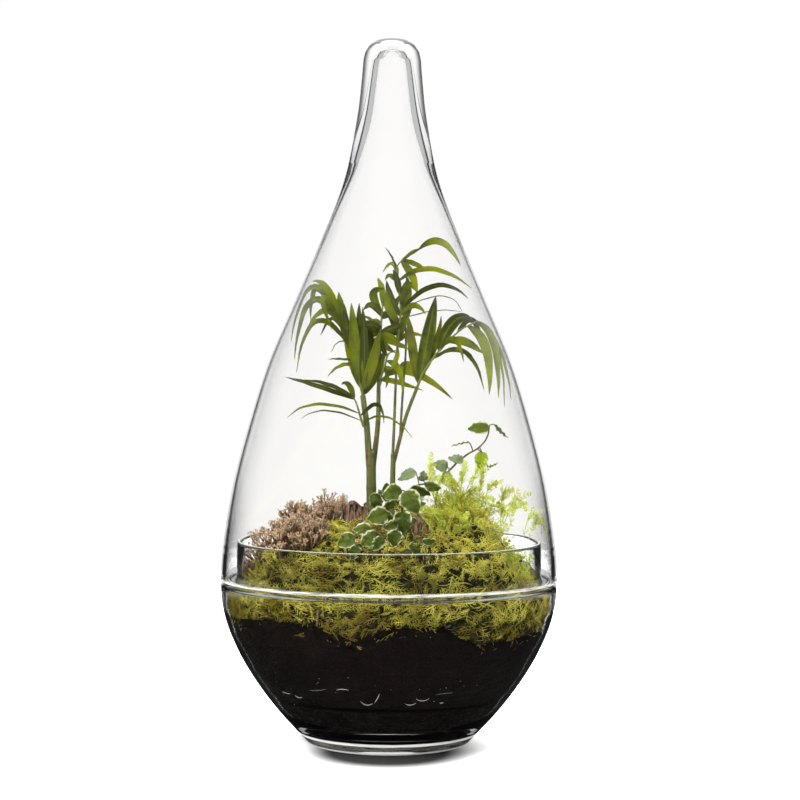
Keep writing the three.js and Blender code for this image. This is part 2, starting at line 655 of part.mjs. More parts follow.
// Palm fronds: a rib, and leaflets as base, middle and tip, then width and roll.
const PALM_FRONDS = {
  palm_frond_left_high: {
    rib: [[-19.5, -5, 245.95], [-26, -7, 271], [-31, -9, 284], [-36, -10, 299]],
    leaflets: [
      [[-30.5, -9, 281], [-53, -15, 298], [-66.7, -18, 262], 6, 50],
      [[-34, -9, 293], [-56, -8, 313], [-68.3, -6, 270.6], 7, 45],
      [[-35.6, -9, 298], [-56.5, 1, 323], [-71, 6, 283.5], 6.5, 50],
      [[-35.5, -9, 297], [-52, 10, 322], [-57, 16, 299], 6.5, 35],
      [[-35, -9, 295], [-45, -14, 321], [-55.5, -18, 326.5], 6.5, 40],
      [[-36, -9, 298], [-48, -20, 315], [-41.5, -24, 292], 6, 35],
      [[-31.5, -8, 286], [-35, -4, 304], [-37, 4, 320], 7.5, 25],
      [[-28.5, -8, 278], [-31.5, -11, 294], [-33, -15, 311], 6, 20],
      [[-20.5, -5.5, 250], [-25, -10, 281], [-28, -13, 312], 8.5, 10],
      [[-20.2, -5.5, 249], [-22, -5, 281], [-22.5, -3, 312], 7.5, 15],
      [[-19.8, -5.5, 248], [-18.6, -9, 277], [-20, -14, 309], 7, 12],
      [[-19.5, -5.5, 248], [-12.5, -7, 270], [-8.5, -7, 291], 8, 15],
      [[-27, -7.5, 270], [-36, -12, 271.5], [-44, -15, 271.5], 3.5, 60],
      [[-26.5, -7.5, 267], [-35.5, -14, 266.5], [-44.3, -20, 259], 4, 50],
      [[-30, -8, 284], [-37, -12, 283.5], [-42.2, -14, 276.4], 2, 60],
      [[-27, -7, 272], [-26, 8, 286], [-30, 20, 296], 6.5, 30],
      [[-31, -8, 284], [-40, 12, 300], [-50, 26, 288], 6.5, 50],
    ],
  },
  palm_frond_left_low: {
    rib: [[-18.8, -6.6, 223.5], [-21.5, -9, 232], [-24, -10, 240], [-26, -10.5, 244]],
    leaflets: [
      [[-25.5, -10, 242.5], [-50, -14, 251.5], [-75, -18, 258.6], 4.2, 35],
      [[-26, -10.5, 244], [-43, -18, 252.8], [-61.5, -26, 256.4], 3.8, 40],
      [[-25.5, -10.5, 243], [-29.5, -15, 252.5], [-34.8, -20, 253.5], 5, 30],
      [[-22, -9, 233], [-52, -16, 239], [-73, -22, 229.5], 3.6, 55],
      [[-20.5, -8.5, 227], [-45, -8, 234.5], [-63, -4, 229], 2.2, 60],
      [[-20.8, -8.5, 231], [-9, -13, 239.5], [-4.2, -16, 226], 4.2, 45],
      [[-19.8, -8, 226], [-2, -12, 230.5], [16, -16, 216], 2.8, 55],
    ],
  },
  palm_frond_centre: {
    rib: [[-7.4, 3, 284.95], [-6.6, 5, 298], [-5.5, 7, 312]],
    leaflets: [
      [[-6.8, 4, 302], [-13, 5, 310], [-19.5, 4, 306.5], 6, 30],
      [[-6.5, 5, 305], [-12.5, 10, 318], [-4.5, 14, 322.5], 6.5, 20],
      [[-7.2, 4, 291], [-14, 2, 294.5], [-22, 0, 296], 6.5, 10],
      [[-7.2, 4, 290], [2, -3, 294], [10, -4, 297], 6, 15],
      [[-7, 4, 296], [-14.5, 8, 300], [-21.5, 12, 304], 3.2, 40],
      [[-7, 4, 288], [0, -2.4, 287], [8.5, -3.4, 280], 6.5, 20],
      [[-6.6, 5, 300], [-3, 16, 304], [4, 26, 300], 6, 45],
      [[-6.8, 5, 294], [-12, 18, 298], [-16, 30, 288], 6, 55],
      [[-5.8, 7, 309], [-6.5, 14, 322], [-9.5, 22, 330], 5.5, 30],
    ],
  },
  palm_frond_small: {
    rib: [[-7.1, 1.2, 257.6], [-3.6, -3, 268], [-1.4, -4, 275], [6, -5, 279]],
    leaflets: [
      [[-3.2, -3.4, 270], [6, -8, 264.5], [9, -10, 247], 5, 20],
      [[5.5, -5, 278.6], [3.8, -9, 270.5], [0, -12, 263.6], 4, 25],
      [[-2, -4, 274], [-5.5, -8, 280], [-5, -12, 287], 4, 30],
      [[-4.4, -2.4, 266], [-2, -9, 259], [-3, -13, 251], 3.4, 35],
    ],
  },
  palm_frond_top: {
    rib: [[5.05, 1, 281.45], [6.2, 1, 292], [7, 1.6, 310], [5, 2.4, 328], [4.4, 3, 338], [8.2, 3, 343]],
    leaflets: [
      [[24, 5, 352.6], [35, 6, 356.2], [50.2, 6, 338.8], 4.8, 25],
      [[5, 3, 337], [0.5, 2, 345], [-4, 1, 352], 2.2, 50],
      [[8, 3, 342.6], [17, 7, 340.5], [26, 11, 335.5], 4.2, 30],
      [[7.5, 3, 342], [15, 4, 332], [18.7, 5, 318.6], 6, 15],
      [[4.9, 2.5, 327], [29, 0, 337], [58, -4, 322.8], 4.8, 40],
      [[6.6, 1.4, 306], [32, -4, 325], [55.2, -9, 315.5], 4.4, 35],
      [[6.6, 1.4, 302], [0.4, -2, 315], [-3.2, -4, 328.3], 5.4, 10],
      [[6, 1, 297], [-1.4, -4, 309], [-2.6, -7, 320.9], 6.2, 15],
      [[6.6, 2, 318], [4.4, 0, 328], [1.5, -3, 336], 5, 15],
      [[5.2, 2.4, 326], [-0.5, 2, 331.5], [-3.8, 0, 328], 4, 30],
      [[7, 1.6, 310], [10.5, -2, 320], [15, -4, 328], 4.6, 20],
      [[6.9, 1.6, 307], [36, 6, 317.5], [51, 12, 306], 1.6, 70],
      [[6.6, 1.4, 300], [30, 12, 306.5], [50, 20, 306], 1.8, 70],
      [[6.8, 1.6, 303], [16, 3, 310.5], [25, 6, 304], 5, 25],
      [[6.4, 1.8, 315], [12, 16, 326], [20, 30, 318], 5, 45],
      [[5, 2.6, 330], [1, 14, 340], [-6, 26, 334], 5, 45],
    ],
  },
  palm_frond_back: {
    rib: [[-8, 5.1, 251.8], [-5, 12, 258], [2, 18, 261]],
    leaflets: [
      [[-4, 13, 258.6], [16, 19, 262.5], [45, 24, 243], 6.2, 10],
      [[-6, 10, 256], [4, 18, 255.6], [24, 26, 249], 4.2, 20],
      [[0, 17, 260.5], [-4, 32, 264], [-14, 44, 252], 5.6, 40],
      [[2, 18, 261], [14, 34, 268], [24, 50, 256], 5.6, 40],
    ],
  },
  palm_frond_right: {
    rib: [[19.15, -5.55, 251.4], [24, -8, 263], [32, -11, 274.5], [41, -14, 284.5], [50, -16, 293], [62, -18, 299.5]],
    leaflets: [
      [[19.6, -6, 253.6], [15.4, -10, 281], [12.4, -13, 303], 7, 12],
      [[20.4, -6.4, 256], [26.5, -13, 287], [32, -18, 317.3], 10, 8],
      [[22, -7, 259], [31.6, -8, 282], [36.1, -8, 303], 5, 25],
      [[34, -11.6, 277], [44.5, -10, 298.5], [57.5, -8, 301.5], 9, 12],
      [[40.5, -14, 284], [53.5, -20, 284.5], [65.7, -24, 276], 6.8, 25],
      [[30, -10.4, 271.6], [53, -14, 277.4], [66.9, -16, 250], 4.6, 40],
      [[54, -17, 295.4], [68, -22, 280], [70.4, -25, 246.5], 7.4, 25],
      [[61, -18, 299], [73.5, -20, 283], [77, -24, 244.1], 5.6, 30],
      [[59, -18, 298], [76, -10, 281], [81.5, -8, 238.2], 3.2, 50],
      [[61.5, -18, 299.2], [78, -14, 279], [86, -14, 243.6], 3.4, 50],
      [[48, -15.6, 291], [58, 4, 300], [66, 18, 284], 6, 45],
      [[36, -12.6, 279.4], [46, -30, 286], [52, -42, 270], 5.6, 45],
    ],
  },
};

// A leaf as it grows on a stem: its base is drawn to the stem where it lies within a short reach of it, and is
// joined to it by a stalk otherwise.
function leaf(stem, [base, middle, tip, width, roll], options = {}) {
  const points = { base: seen(base), middle: seen(middle), tip: seen(tip) };
  const steps = width < 5 || points.base.distanceTo(points.tip) < 12 ? 3 : 4;
  const root = nearestOn(stem, points.base);
  const reach = points.base.clone().sub(root);
  if (reach.length() < LEAF_REACH) points.base = root;
  const shape = { ...points, width, roll, steps, ...options };
  if (reach.length() < LEAF_REACH) return [blade(shape)];
  const start = points.middle.clone().sub(points.base).normalize();
  if (start.dot(reach.clone().normalize()) > 0.5) return [blade({ ...shape, root })];
  const end = points.base.clone().addScaledVector(reach.normalize(), STALK_R);
  return [blade(shape), tube([root, end], STALK_R, STALK_R, { sides: 3, steps: 1 })];
}

function palmFrond({ rib, leaflets }) {
  const path = rib.map(alongSight);
  const leaves = leaflets.flatMap((row) => leaf(path, row));
  return grown([tube(path, ...PALM_RIB_RADII, { sides: 3, steps: rib.length }), ...leaves]);
}

// Creeping fig: leafy stems. Leaves are given by middle point, length, width, heading in the plane that is seen,
// and roll. Heading 0 points to the right and 90 points up.
const FIG_STEMS = {
  fig_stem_left: {
    stem: [[-6, -72, 134], [-8, -78, 146], [-14, -85, 150], [-21, -89, 148], [-26, -91, 143]],
    leaves: [
      [-30.5, -90, 142, 13.5, 11, 205, 15],
      [-19.4, -87, 150.6, 12.5, 9, 185, 20],
      [-14.4, -91, 143.4, 13.5, 11.5, 215, -15],
      [-24.6, -95, 133.2, 10.5, 8.5, 250, 25],
      [-8, -92, 140, 11, 9, 230, 30],
    ],
  },
  fig_stem_middle: {
    stem: [[2, -48, 140], [0, -50, 152], [-4, -51, 162], [-7, -51, 172], [-6.6, -51, 177]],
    leaves: [
      [-8.4, -54, 159.4, 15, 13.5, 195, 10],
      [-9.8, -52, 170.4, 9.5, 10, 262, 5],
      [-6.6, -52, 176.8, 4.5, 4, 120, 20],
      [1.8, -46, 168.5, 9, 7.5, 30, 30],
    ],
  },
  fig_stem_front: {
    stem: [[8, -66, 134], [8, -69, 144], [7, -72, 152], [6, -74, 158]],
    leaves: [
      [9.6, -76, 155.4, 15, 13, 275, 10],
      [3.4, -85, 143.4, 12.5, 11, 250, 20],
      [1, -76, 152.5, 9, 8, 200, 30],
    ],
  },
  fig_stem_right: {
    stem: [[8, -30, 146], [9, -33, 158], [10, -33, 170], [16, -31, 180], [26, -28, 183], [33, -26, 183]],
    leaves: [
      [1.8, -36, 176, 14, 12.5, 200, 10],
      [15.6, -37, 169.6, 18, 15.5, 300, 8],
      [12.2, -27, 189, 14, 8, 210, 25],
      [22.2, -33, 177.4, 15, 8.5, 340, 25],
      [31.5, -31, 180.6, 11, 8, 350, 20],
      [24, -25, 188.6, 8, 7, 80, 25],
    ],
  },
  fig_stem_low: {
    stem: [[21, -80, 128], [21, -84, 136], [20, -87, 139], [24, -87, 142]],
    leaves: [
      [18.6, -92, 136.6, 11, 9, 255, 15],
      [29, -88, 142, 8, 6.5, 10, 35],
      [12, -93, 134, 8, 6.5, 190, 40],
    ],
  },
  fig_runner: {
    stem: [[32, 0, 156], [35, -4, 182], [43, -6, 193], [53, -6, 202.5], [64, -6, 209.6], [69.5, -6, 217], [71, -6, 225]],
    leaves: [
      [62.4, -8, 223.2, 13.5, 9, 190, 15],
      [79.4, -5, 220.8, 13, 4.6, 315, 55],
      [50.2, -10, 211.6, 12.5, 2.6, 195, 70],
      [65.2, -8, 199.8, 12, 9.5, 265, 10],
      [47.2, -10, 200.8, 11, 7, 170, 25],
      [36.4, -10, 196.4, 10.5, 9, 160, 15],
      [40.2, -11, 188, 8, 7.5, 235, 15],
      [73.4, -4, 196.6, 8, 3, 20, 60],
    ],
  },
  fig_stem_back: {
    stem: [[-8, 48, 144], [-6, 52, 158], [-2, 56, 167], [6, 60, 169], [14, 63, 167]],
    leaves: [
      [-12, 55, 166, 13, 11, 170, -20],
      [-1, 60, 176, 14, 11.5, 100, -15],
      [8, 66, 166, 13, 11, 300, -20],
      [20, 67, 167, 12, 10, 10, -30],
      [-1, 66, 163, 11, 9, 250, -20],
    ],
  },
};

function figLeaf([x, y, z, length, width, heading, roll]) {
  const angle = THREE.MathUtils.degToRad(heading);
  const step = [(Math.cos(angle) * length) / 2, (Math.sin(angle) * length) / 2];
  const base = [x - step[0], y + 1.5, z - step[1]];
  const tip = [x + step[0], y + 1.5, z + step[1]];
  return [base, [x, y - 0.5, z], tip, width, roll];
}

function figStem({ stem, leaves }) {
  const path = stem.map(seen);
  const shape = { outline: OVATE, fold: FIG_FOLD };
  const blades = leaves.flatMap((spec) => leaf(path, figLeaf(spec), shape));
  return grown([tube(path, ...FIG_STEM_RADII, { sides: 3, steps: stem.length + 1 }), ...blades]);
}

// Spikemoss sprays: feathery fronds from one root in the moss, each as its middle and tip, then width and roll.
const SPIKEMOSS_SPRAYS = {
  spikemoss_spray_1: {
    root: { x: 27, y: -16 },
    fronds: [
      [[28, -18, 184], [29.4, -18, 201.5], 8, 10],
      [[34, -21, 178], [38, -25, 188], 8, 20],
      [[21, -22, 170], [18, -26, 177], 8, 25],
    ],
  },
  spikemoss_spray_2: {
    root: { x: 50, y: -10 },
    fronds: [
      [[51, -12, 184], [53.5, -13, 195], 8, 10],
      [[46, -15, 178], [43, -16, 185], 8, 25],
      [[57, -18, 176], [61, -24, 180], 8, 20],
    ],
  },
  spikemoss_spray_3: {
    root: { x: 63, y: -8 },
    fronds: [
      [[65, -10, 182], [66.3, -11, 192], 8, 12],
      [[70, -12, 178], [76, -14, 182], 9, 15],
      [[66, -20, 172], [67, -29, 172], 9, 30],
    ],
  },
  spikemoss_spray_4: {
    root: { x: 78, y: -6 },
    fronds: [
      [[87, -10, 168], [96, -12, 168.5], 10, 15],
      [[80, -8, 170], [82, -9, 177], 8, 20],
      [[80, -18, 162], [82, -28, 160], 9, 30],
    ],
  },
  spikemoss_spray_5: {
    root: { x: 90, y: -10 },
    fronds: [
      [[99, -12, 157], [106.5, -12, 157], 10, 15],
      [[104, -14, 154], [108.5, -16, 147], 7, 20],
    ],
  },
  spikemoss_spray_6: {
    root: { x: 58, y: 20 },
    fronds: [
      [[60, 24, 186], [64, 28, 194], 10, -20],
      [[50, 28, 180], [44, 34, 184], 10, -30],
    ],
  },
  spikemoss_spray_7: {
    root: { x: 82, y: 16 },
    fronds: [
      [[90, 20, 164], [98, 24, 166], 10, -20],
      [[82, 28, 162], [80, 38, 164], 10, -40],
    ],
  },
  spikemoss_spray_8: {
    root: { x: 40, y: -36 },
    fronds: [
      [[42, -44, 160], [46, -52, 160], 9, 20],
      [[34, -44, 160], [29, -50, 160], 9, 30],
    ],
  },
};
const SPRAY_ROOT_R = 1.2;
const SPRAY_ROOT_DEPTH = 4;
const SPRAY_TEETH = 5;

const sprayFoot = ({ x, y }) => new THREE.Vector3(x, y, mossTop(x, y) - SPRAY_ROOT_DEPTH);

function spikemossSpray({ root, fronds }) {
  const foot = sprayFoot(root);
  const neck = foot.clone().add(new THREE.Vector3(0, 0, SPRAY_ROOT_DEPTH + 1.5));
  const base = neck.clone().add(new THREE.Vector3(0, 0, -1));
  const solids = [tube([foot, neck], SPRAY_ROOT_R, SPRAY_ROOT_R, { sides: 5, steps: 1 })];
  for (const [middle, tip, width, roll] of fronds) {
    const points = { base, middle: seen(middle), tip: seen(tip) };
    solids.push(blade({ ...points, width, roll, outline: BLUNT, teeth: SPRAY_TEETH, fold: SPRAY_FOLD }));
  }
  return grown(solids);
}

// Everything that stands in moss or soil has a seat: its own shape made larger by the gap, cut out of them.
const seats = [
  ...LICHEN_TUFTS.map((tuft) => lichenCushion(tuft, GAP)),
  ...BARK_CHIPS.map((chip) => barkChip(chip, 2 * GAP)),
  ...TWIGS.map((spec) => twig(spec, GAP)),
  ...PALM_CANES.map(({ foot }) => stemHole(foot.x, foot.y, foot.r, alongSight([foot.x, foot.y, CANE_FOOT_Z]).z)),
  ...Object.values(FIG_STEMS).map(({ stem }) => {
    const radii = FIG_SEAT_RADII.map((radius) => radius + GAP);
    return tube(lengthened(stem.map(seen), GAP), ...radii, { sides: 5, steps: stem.length + 1 });
  }),
  ...Object.values(SPIKEMOSS_SPRAYS).map(({ root }) => stemHole(root.x, root.y, SPRAY_ROOT_R, sprayFoot(root).z)),
];

// A plain upright hole for a stem, open at the top.
function stemHole(x, y, radius, bottom) {
  const low = new THREE.Vector3(x, y, bottom - GAP);
  const high = new THREE.Vector3(x, y, ABOVE_MOSS_Z);
  return tube([low, high], radius + 2 * GAP, radius + 2 * GAP, { sides: 10, steps: 1 });
}

// Spots on the moss that its shoots keep away from.
const taken = [
  ...LICHEN_TUFTS.map(({ x, y, r }) => ({ x, y, r })),
  ...BARK_CHIPS.flatMap(({ edge }) => edge.map((p) => ({ x: alongSight(p).x, y: p[1], r: 3 }))),
  ...PALM_CANES.map(({ foot }) => foot),
  ...Object.values(FIG_STEMS).flatMap(({ leaves }) =>
    leaves.map(([x, y, z, length]) => ({ x: alongSight([x, y, z]).x, y, r: length / 2 })),
  ),
  ...Object.values(FIG_STEMS).flatMap(({ stem }) => stem.slice(0, 2).map((p) => ({ x: p[0], y: p[1], r: 2 }))),
  ...Object.values(SPIKEMOSS_SPRAYS).map(({ root }) => ({ ...root, r: 4 })),
];

const MOSS_RING = [
  { name: "moss_front", from: -11, to: -3, seed: 21 },
  { name: "moss_right", from: -3, to: 3, seed: 22 },
  { name: "moss_back", from: 3, to: 11, seed: 23 },
  { name: "moss_left", from: 11, to: 17, seed: 24 },
];

function carved(body, tools) {
  const bodies = tools.reduce((kept, tool) => kept.subtract(tool), body).decompose();
  return bodies.reduce((a, b) => (a.volume() > b.volume() ? a : b));
}

// The scene graph

const terrarium = new THREE.Group();
terrarium.name = "terrarium";

function material(key) {
  const [color, roughness] = COLOURS[key];
  const made = new THREE.MeshStandardMaterial({ color, roughness, metalness: 0 });
  if (key === "glass") Object.assign(made, { transparent: true, opacity: 0.25 });
  return made;
}

function addPiece(name, body, materialKey) {
  const { numProp, vertProperties, triVerts } = body.getMesh();
  const positions = new Float32Array((vertProperties.length / numProp) * 3);
  for (let i = 0; i * numProp < vertProperties.length; i++) {
    positions.set(vertProperties.subarray(i * numProp, i * numProp + 3), i * 3);
  }
  const geometry = new THREE.BufferGeometry();
  geometry.setAttribute("position", new THREE.BufferAttribute(positions, 3));
  geometry.setIndex(new THREE.BufferAttribute(triVerts, 1));
  geometry.computeVertexNormals();
  const mesh = new THREE.Mesh(geometry, material(materialKey));
  mesh.name = name;
  terrarium.add(mesh);
}

const bowlOutline = [
  [0, 0],
  [56, 0],
  ...BOWL_OUTSIDE,
  ...BOWL_SHOULDER_AND_NECK,
  ...BOWL_INSIDE,
  [0, 8.6],
];
const domeOutline = [...DOME_INSIDE, ...smoothed(DOME_OUTSIDE, DOME_STEPS), ...DOME_TIP];

addPiece("glass_bowl", lathe(bowlOutline), "glass");
addPiece("glass_dome", lathe(domeOutline), "glass");
addPiece("drainage_layer", drainageLayer(), "gravel");
addPiece("potting_soil", carved(pottingSoil(), seats), "soil");
for (const part of MOSS_RING) {
  const spread = { ...part, inner: MOSS_MIDDLE_R + 4, outer: NECK_INNER_R - 5, count: 11 };
  addPiece(part.name, carved(shoots(mossSector(part.from, part.to), spread, taken), seats), "moss");
}
const middleSpread = { from: 0, to: LATHE_SIDES, inner: 3, outer: MOSS_MIDDLE_R - 4, count: 7, seed: 25 };
addPiece("moss_middle", carved(shoots(mossMiddle(), middleSpread, taken), seats), "moss");
for (const tuft of LICHEN_TUFTS) {
  addPiece(tuft.name, lichenTuft(tuft), tuft.name.endsWith("grey") ? "lichenGrey" : "lichen");
}
BARK_CHIPS.forEach((chip) => addPiece(chip.name, barkChip(chip, 0), "bark"));
TWIGS.forEach((spec) => addPiece(spec.name, twig(spec, 0), "bark"));
PALM_CANES.forEach((cane) => addPiece(cane.name, palmCane(cane), "cane"));
for (const [name, frond] of Object.entries(PALM_FRONDS)) addPiece(name, palmFrond(frond), "palm");
for (const [name, stem] of Object.entries(FIG_STEMS)) addPiece(name, figStem(stem), "fig");
for (const [name, spray] of Object.entries(SPIKEMOSS_SPRAYS)) addPiece(name, spikemossSpray(spray), "spikemoss");

export default terrarium;
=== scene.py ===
"""A glass plant terrarium, dressed over its CAD frame.

A drop-shaped glass dome rests on the shoulder of a round glass bowl. The bowl holds gravel, soil, moss,
reindeer lichen, bark, two clumps of parlour palm, creeping fig and spikemoss. Each sub-assembly is a class
that builds finer pieces over the CAD nodes of the same names. Sizes are millimetres until a mesh is made.
"""

from __future__ import annotations

import itertools
import logging
import math
from dataclasses import dataclass, field
from enum import Enum
from typing import Any, ClassVar

import bpy
import numpy as np
from numpy.typing import NDArray
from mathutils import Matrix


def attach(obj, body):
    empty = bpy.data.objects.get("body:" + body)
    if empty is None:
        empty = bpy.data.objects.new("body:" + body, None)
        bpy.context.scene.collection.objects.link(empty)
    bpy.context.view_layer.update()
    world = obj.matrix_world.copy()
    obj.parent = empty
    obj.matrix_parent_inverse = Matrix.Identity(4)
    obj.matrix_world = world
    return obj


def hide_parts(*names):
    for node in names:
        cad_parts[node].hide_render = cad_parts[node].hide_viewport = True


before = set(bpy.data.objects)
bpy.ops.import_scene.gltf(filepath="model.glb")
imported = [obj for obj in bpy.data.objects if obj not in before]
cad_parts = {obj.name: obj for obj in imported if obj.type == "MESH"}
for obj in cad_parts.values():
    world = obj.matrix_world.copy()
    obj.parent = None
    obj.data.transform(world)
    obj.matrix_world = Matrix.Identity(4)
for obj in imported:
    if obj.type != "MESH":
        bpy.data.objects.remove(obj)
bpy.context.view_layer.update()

Array = NDArray[np.float64]
Colour = tuple[float, float, float]
Rows = list[list[Any]]

log = logging.getLogger("terrarium")

MM = 0.001
LATHE_SIDES = 28
NECK_INNER_R = 105.3
SHOULDER_Z = 114.8
NECK_FOOT_Z = 112.0
RIM_Z = 143.0
HEIGHT = 500.0
SOIL_CROWN_Z = 118.0
MOSS_MIDDLE_R = 30.0

# How far moss keeps off the soil, and a cushion stays below the tips of its strands.
SOIL_GAP = 0.9
STRANDS_STAND = 2.2

# How near its stem a leaf has to start to need no stalk, and how far leaves keep off the glass.
LEAF_REACH = 2.5
LEAF_MARGIN = 2.6

# The columns of two of a skin's marks, after x, y and z.
ALONG, WOODY = 3, 6

# The integer hash of the noise: odd numbers for the three axes, for the seed and for the stir.
HASH_AXES = np.array([374761393, 668265263, 962287])
HASH_SEED = 974711
HASH_STIR = 1274126177
WORD = 0xFFFFFFFF

# The eye that the plants are placed for: millimetres from the foot's middle.
EYE_X, EYE_Z, EYE_DISTANCE = 7.0, 256.6, 1365.0

# Outlines as radius and height.
DOME_OUTSIDE = np.array(
    [[119.7, 115.15], [117.6, 143], [110.5, 186], [99.4, 229], [85.9, 271.6], [67.7, 314.3], [49.5, 357],
     [33.5, 400], [24.9, 443], [21.7, 471], [20.5, 486], [19.6, 489.7], [16, 495.4], [10, 498.8], [0, HEIGHT]]
)
DOME_INSIDE = np.array(
    [[0, 490.5], [6, 489], [9.5, 484], [11.2, 470], [14.8, 443], [22.6, 417], [29, 400], [47.5, 357],
     [66.4, 314.3], [84.4, 271.6], [97.5, 229], [108.3, 186], [114.7, 143], [116.2, 115.15]]
)
BOWL_OUTSIDE = np.array(
    [[57.7, 0.9], [64.2, 7.8], [77.3, 22], [88.7, 36.4], [98.4, 50.6], [106.6, 65], [114.2, 82.5],
     [118.4, 99], [119.5, 113]]
)
BOWL_NECK = np.array(
    [[118.3, SHOULDER_Z], [111.6, SHOULDER_Z], [109, 116.8], [108.3, 121], [108.3, 141.6], [106.8, RIM_Z],
     [NECK_INNER_R, 141.6], [NECK_INNER_R, 116]]
)
BOWL_INSIDE = np.array(
    [[106.6, 113.3], [112.6, 113.1], [115.1, 111.2], [115.4, 102], [114.3, 93.4], [109.8, 79], [103.2, 65],
     [94.8, 50.6], [84.9, 36.4], [73, 22], [60, 12.6]]
)

# Where the soil meets the bowl: degrees round the axis from +X (the front is -90), and height.
SOIL_EDGE = np.array(
    [[-180, 90.5], [-131, 95.5], [-117, 93.5], [-101, 85.5], [-88, 95], [-71, 92.5], [-57, 80.5], [-25, 84],
     [0, 82], [50, 90], [95, 94], [140, 87], [180, 90.5]]
)


# Sums on whole arrays


def unit(vectors: Array) -> Array:
    """Each vector divided by its own length."""
    return vectors / np.maximum(np.linalg.norm(vectors, axis=-1, keepdims=True), 1e-9)


def bell(dx: Array, dy: Array, spread: float) -> Array:
    """A round hill of height 1: e to the minus half of the squared distance over the squared spread."""
    return np.exp(-(dx * dx + dy * dy) / (2 * spread * spread))


def circle(count: int) -> Array:
    """Even angles round a circle: 2 pi k / count."""
    return 2 * np.pi * np.arange(count) / count


def polar(r: Any, angle: Array, z: Any) -> Array:
    """Points (r cos a, r sin a, z), from three arrays that broadcast together."""
    return np.stack(np.broadcast_arrays(r * np.cos(angle), r * np.sin(angle), z), axis=-1)


def arc(start: Array, control: Array, end: Array, t: Array) -> Array:
    """The quadratic curve (1 - t)^2 start + 2t(1 - t) control + t^2 end."""
    return (1 - t) ** 2 * start + 2 * t * (1 - t) * control + t**2 * end


def lattice_noise(points: Array, size: float, seed: int = 0) -> Array:
    """Smooth noise between -1 and 1.

    Space is cut into cubes. Each corner has a value from an integer hash, and a point takes the mean of its
    cube's eight corners, weighted by 3f^2 - 2f^3 of its place f in the cube.

    Args:
        points: places, with x, y and z last.
        size: the cube's edge in millimetres.
        seed: another seed gives another pattern.

    Returns:
        One value for each point.
    """
    cell = points / size
    low = np.floor(cell)
    part = cell - low
    part = part * part * (3 - 2 * part)
    low = low.astype(np.int64)
    total = np.zeros(points.shape[:-1])
    for corner in itertools.product((0, 1), repeat=3):
        step = np.array(corner)
        weight = np.prod(np.where(step == 1, part, 1 - part), axis=-1)
        code = ((low + step) @ HASH_AXES + seed * HASH_SEED) & WORD
        code = ((code ^ (code >> 13)) * HASH_STIR) & WORD
        total += weight * (((code ^ (code >> 16)) & 0xFFFF) / 32767.5 - 1)
    return total


def smooth_path(points: Array, count: int) -> Array:
    """A smooth path through points, in even steps.

    Between two points it is the Catmull-Rom cubic, half of 2b + (c - a)t + (2a - 5b + 4c - d)t^2 +
    (3b - a - 3c + d)t^3 of the four points a, b, c, d round the span, and it is then cut by arc length.

    Args:
        points: the points that it passes through.
        count: how many points come back.

    Returns:
        The path's points.
    """
    points = np.asarray(points, float)
    ends = np.vstack([2 * points[0] - points[1], points, 2 * points[-1] - points[-2]])
    at = np.linspace(0, len(points) - 1, 24 * len(points))
    span = np.minimum(at.astype(int), len(points) - 2)
    t = (at - span)[:, None]
    a, b, c, d = (ends[span + i] for i in range(4))
    fine = 0.5 * (2 * b + (c - a) * t + (2 * a - 5 * b + 4 * c - d) * t**2 + (3 * b - a - 3 * c + d) * t**3)
    run = np.concatenate([[0], np.cumsum(np.linalg.norm(np.diff(fine, axis=0), axis=1))])
    even = np.linspace(0, run[-1], count)
    return np.stack([np.interp(even, run, fine[:, i]) for i in range(fine.shape[1])], axis=1)


def rounded(outline: Array, reach: float, steps: int) -> Array:
    """An outline with each corner replaced by a short quadratic arc. Its two ends stay.

    Args:
        outline: radius and height of each point.
        reach: how far before and after its corner an arc starts and ends, at most.
        steps: points along each arc.

    Returns:
        The rounded outline.
    """
    corner = outline[1:-1]

    def near(side: Array) -> Array:
        """The point beside each corner on one side."""
        length = np.linalg.norm(side, axis=1, keepdims=True)
        return (corner + side / length * np.minimum(reach, 0.48 * length))[:, None]

    t = np.linspace(0, 1, steps)[None, :, None]
    arcs = arc(near(outline[:-2] - corner), corner[:, None], near(outline[2:] - corner), t)
    return np.vstack([outline[:1], arcs.reshape(-1, 2), outline[-1:]])


def radius_at(outline: Array, z: Array) -> Array:
    """The radius of an outline at each height, in straight lines between its points."""
    order = np.argsort(outline[:, 1])
    return np.interp(z, outline[order, 1], outline[order, 0])


def soil_edge(angle: Array) -> Array:
    """The height at which the soil meets the glass, at angles in radians."""
    return np.interp((np.degrees(angle) + 180) % 360 - 180, SOIL_EDGE[:, 0], SOIL_EDGE[:, 1])


def wall_radius(z: Array) -> Array:
    """How far out the filling of the bowl reaches: half a millimetre inside the glass."""
    return radius_at(BOWL_INSIDE, z) - 0.5


def soil_top(r: Array, angle: Array) -> Array:
    """The soil's height: a crown that falls to the edge's height with the square of the radius."""
    edge = soil_edge(angle)
    return SOIL_CROWN_Z + (edge - SOIL_CROWN_Z) * np.minimum(1, r / wall_radius(edge)) ** 2


def moss_top(x: Array, y: Array) -> Array:
    """The moss cushion's height: 128 at the neck, 24 more in the middle, and a hill and a hollow at right."""
    r = np.minimum(np.hypot(x, y), NECK_INNER_R)
    return 128 + 24 * (1 - (r / NECK_INNER_R) ** 4) + 22 * bell(x - 60, y, 22) - 13 * bell(x - 108, y, 14)


def moss_roof(x: Array, y: Array) -> Array:
    """The moss's height, low at both sides of the neck: at most 111, and 1.4 for each mm inside x = 95."""
    return np.minimum(moss_top(x, y), 111 + 1.4 * np.maximum(95 - np.abs(x), -4))


